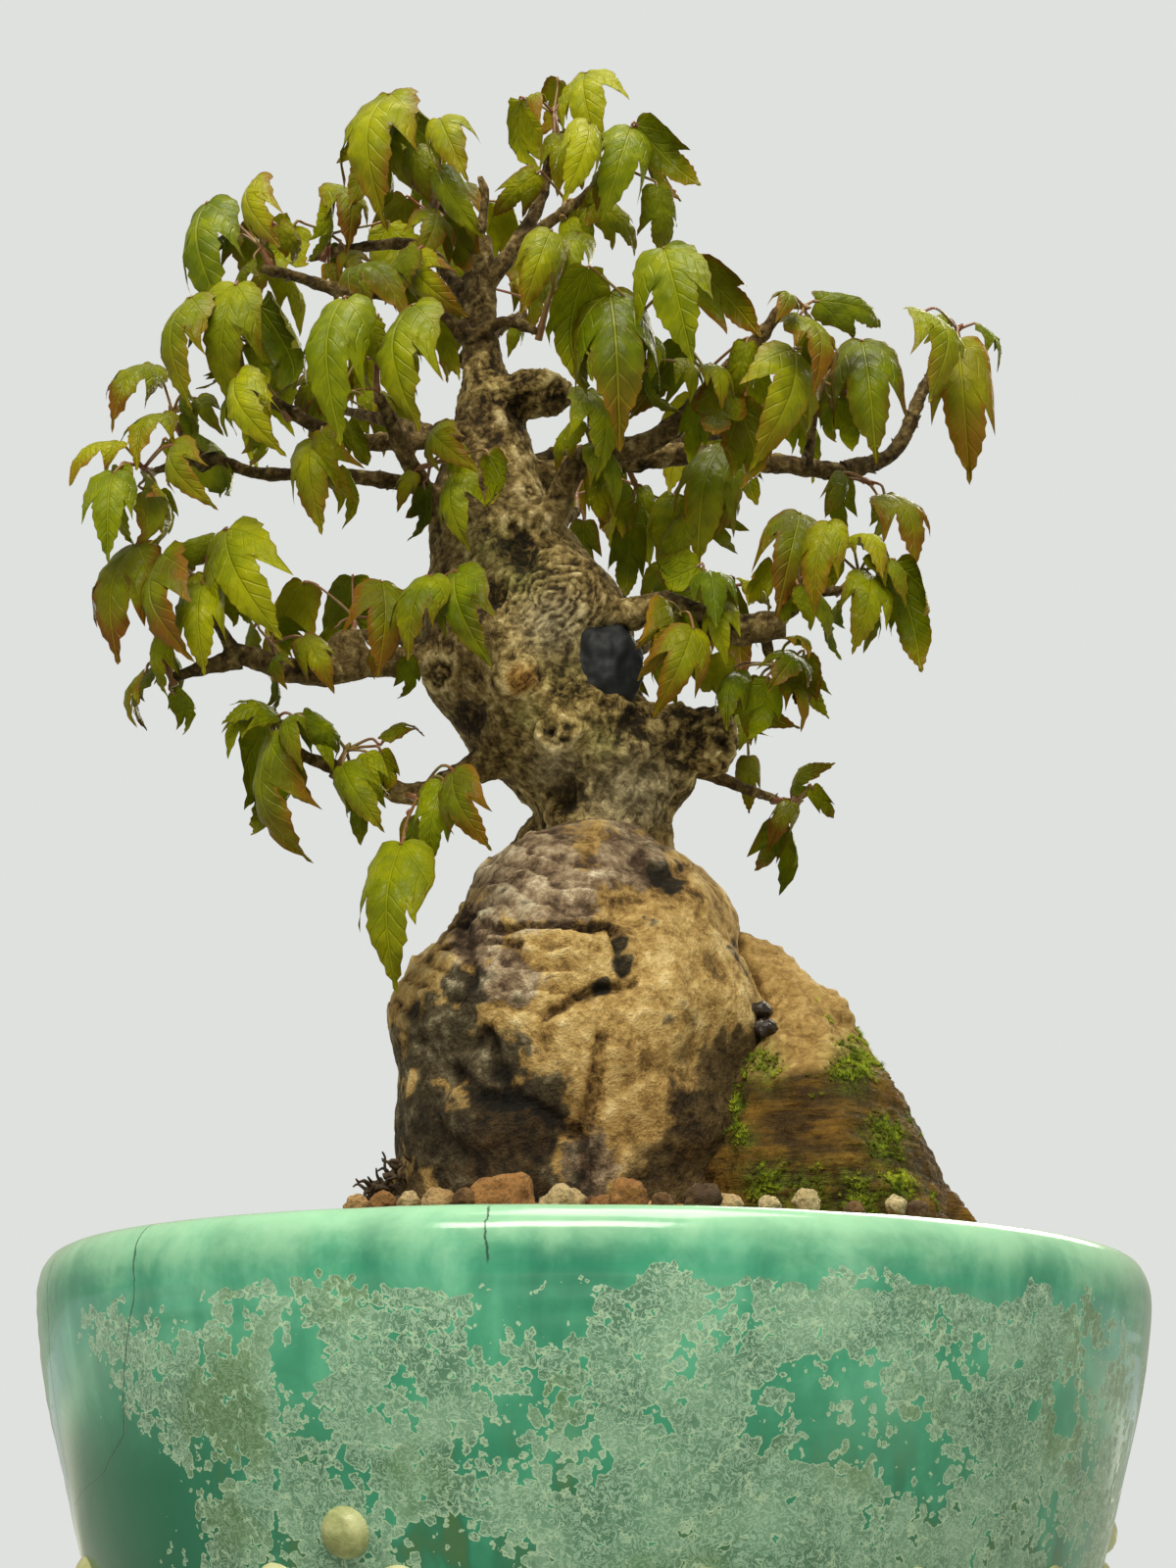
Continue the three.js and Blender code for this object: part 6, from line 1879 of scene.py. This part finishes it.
stone_draw = np.random.default_rng(8)
points, faces, kinds = [], [], []
shrink = (-EYE[1] - RIM_FRONT) / -EYE[1]
for number, (x, wide, tall, kind) in enumerate(RIM_STONES):
    ball, sides = pebble_points(number + 3, 4)
    real_x = EYE[0] + (x - EYE[0]) * shrink
    edge = RIM_R - wide * 0.75
    high = min(tall + 1.2, wide * 0.85)
    middle = np.array([real_x, -math.sqrt(edge ** 2 - real_x ** 2), RIM_HIGH + tall * 1.15 - high])
    turn = stone_draw.uniform(0, 6.28)
    cos, sin = math.cos(turn), math.sin(turn)
    ball = ball @ np.array([[cos, 0, sin], [0, 1, 0], [-sin, 0, cos]])
    start = sum(len(row) for row in points)
    points.append(ball * (wide * 0.9, wide * 0.8, high) + middle)
    faces.extend([[corner + start for corner in side] for side in sides])
    kinds.append(np.tile([kind, stone_draw.uniform()], (len(ball), 1)))
rim_stones = new_object("rim_stones", mesh_from("rim_stones", np.concatenate(points), faces),
                        lump_paint())
put_map(rim_stones.data, "kind", np.concatenate(kinds))
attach(rim_stones, BODY)
print("rim stones:", len(RIM_STONES))

# %% [markdown]
# ## Moss
# Cushions of moss grow on the damp root and in the cleft beside the stone. One small tuft of
# blades is made, and a tree of nodes sets it on the skin of the wood, where a mask allows it,
# tilted between the skin's own direction and straight up.

# %% Grow the moss
tufts = sown("tufts", True)


def one_tuft_mesh(blades, spread):
    """Thin three-sided blades that rise from one spot and bend apart"""
    draw = np.random.default_rng(blades)
    points, faces = [], []
    for _ in range(blades):
        turn, lean = draw.uniform(0, 6.28), draw.uniform(0.1, spread)
        out = np.array([math.cos(turn), math.sin(turn), 0])
        side = np.array([-math.sin(turn), math.cos(turn), 0])
        foot, start = out * 0.12, len(points)
        points += [foot + side * 0.1, foot - side * 0.1, foot + out * 0.08,
                   foot + out * lean + np.array([0, 0, draw.uniform(0.7, 1.1)])]
        faces += [(start + i, start + j, start + k)
                  for i, j, k in ((0, 2, 3), (2, 1, 3), (1, 0, 3), (0, 1, 2))]
    return mesh_from("tuft", np.array(points) / MM, faces)


def moss_paint():
    paint = Paint("moss")
    cloud, fine = paint.grain(180, 3).band(0.3, 0.7), paint.grain(1500, 2).band(0.3, 0.7)
    colour = paint.ramp(cloud * 0.6 + fine * 0.45, [
        (0.0, 34, 42, 5), (0.35, 82, 98, 12), (0.65, 130, 146, 24), (1.0, 186, 192, 60)])
    return paint.end({"Base Color": colour, "Roughness": 0.75, "Specular IOR Level": 0.15})


moss_plan = trunk_piece.data.copy()
points, normals = corners_of(moss_plan)
x, z = laid_out(points)
growing = patches(x, z, MOSSY) + 0.55 * clouds(points, 4, 5)
allowed = (normals[:, 1] < 0.25) * (points[:, 0] > 10)
put_value(moss_plan, "where", np.clip((growing - 0.42) * 2.2, 0, 1) * allowed)
one_tuft = new_object("one_tuft", one_tuft_mesh(6, 0.5))
moss = new_object("moss", tufts.run("moss", moss_plan, {
    "Thing": one_tuft, "Density": 3000000.0, "Smallest": 0.4 * MM, "Largest": 1.15 * MM, "Seed": 3,
    "Finish": moss_paint()}))
bpy.data.objects.remove(one_tuft)
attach(moss, BODY)
print("moss faces:", len(moss.data.polygons))

# %% [markdown]
# ## Husk, fine roots and buds
# A glossy dark husk sits in the cleft between stone and root, and a tangle of fine dead roots
# lies at the stone's left foot. Both are made from lines and lumps. Small buds and spurs roughen
# the twigs: the tree that grew the moss sets them too.

# %% Add the husk, the fine roots and the buds
def dark_paint(name, dark, light, rough):
    paint = Paint(name)
    cloud, fine = paint.grain(300, 4).band(0.3, 0.7), paint.grain(1500, 3).band(0.3, 0.7)
    colour = paint.mix(cloud * 0.7 + fine * 0.3, linear(*dark), linear(*light))
    return paint.end({"Base Color": colour, "Roughness": rough + (fine - 0.5) * 0.2,
                      "Normal": paint.relief(cloud + fine * 0.5, 0.2, 0.7)})


husk_parts = [lump_mesh("husk_part", seen(*spot), *size) for spot, size in (
    ((28.2, 113.4, -15.0), (2.4, 2.4, 1.5)), ((28.8, 110.4, -15.4), (2.1, 2.4, 1.9)),
    ((27, 112, -14.6), (1.2, 1.8, 2)))]
husk_mesh = one_mesh("husk", husk_parts)
husk_mesh.shade_smooth()
points, normals = corners_of(husk_mesh)
put_corners(husk_mesh, points + normals * (0.6 * clouds(points, 2.0))[:, None])
husk = new_object("husk", husk_mesh, dark_paint("husk", (12, 8, 5), (48, 34, 22), 0.4))
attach(husk, BODY)

FINE_ROOTS = 90
root_draw = np.random.default_rng(21)
root_lines = []
for _ in range(FINE_ROOTS):
    x = root_draw.uniform(-37.5, -27)
    z = root_draw.uniform(79, 83.5 + 0.6 * (x + 37.5))
    y = root_draw.uniform(-14, -2)
    heading = np.array([root_draw.uniform(-1, 1), root_draw.uniform(-1, 0.3),
                        root_draw.uniform(-0.6, 0.35)])
    knots = [seen(x, z, y)]
    for _ in range(4):
        knots.append(knots[-1] + unit(heading) * 1.1)
        heading = heading + root_draw.normal(0, 0.7, 3)
    spots, run = evenly(knots, 0.5)
    root_lines.append((spots, np.linspace(root_draw.uniform(0.3, 0.65), 0.15, len(spots))))
fine_roots = new_object("fine_roots", make_stems(
    "fine_roots", root_lines, 6, dark_paint("fine_root", (22, 15, 9), (84, 66, 42), 0.8)))
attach(fine_roots, BODY)

bud_plan = twig_piece.data.copy()
points, _ = corners_of(bud_plan)
put_value(bud_plan, "where", clouds(points, 9, 2) > 0.0)
bud_shape = bmesh.new()
bmesh.ops.create_cone(bud_shape, cap_ends=True, segments=6, radius1=0.5, radius2=0.08, depth=1.3)
one_bud = new_object("one_bud", mesh_of("one_bud", bud_shape))
buds = new_object("buds", tufts.run("buds", bud_plan, {
    "Thing": one_bud, "Density": 60000.0, "Smallest": 0.7 * MM, "Largest": 1.5 * MM, "Seed": 9,
    "Finish": dark_paint("bud", (30, 20, 12), (120, 96, 64), 0.7)}))
bpy.data.objects.remove(one_bud)
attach(buds, BODY)
print("husk, fine roots and bud faces:", [len(p.data.polygons) for p in (husk, fine_roots, buds)])

# %% [markdown]
# ## The drain mesh
# A disc of black plastic mesh lies over the hole in the bowl's floor. The solid is right as it
# is, so it only gets a finish: a square net of moulded threads, drawn by two waves.

# %% Finish the drain mesh
def drain_paint():
    paint = Paint("drain_plastic")
    x, y = paint.axes()[:2]
    threads = (x * 2.1).maths("SINE").size().least((y * 2.1).maths("SINE").size())
    hole = threads.band(0.45, 0.6)
    dust = paint.grain(400, 4).band(0.5, 0.7)
    colour = paint.mix(hole, linear(34, 35, 37), linear(8, 7, 6))
    colour = paint.mix(dust * 0.4, colour, linear(110, 84, 58))
    return paint.end({"Base Color": colour, "Roughness": 0.45 + dust * 0.4,
                      "Normal": paint.relief(1 - hole, 0.5, 1.0)})


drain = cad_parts["drain_mesh"]
drain.material_slots[0].material = drain_paint()
print("drain mesh finish:", drain.material_slots[0].material.name)
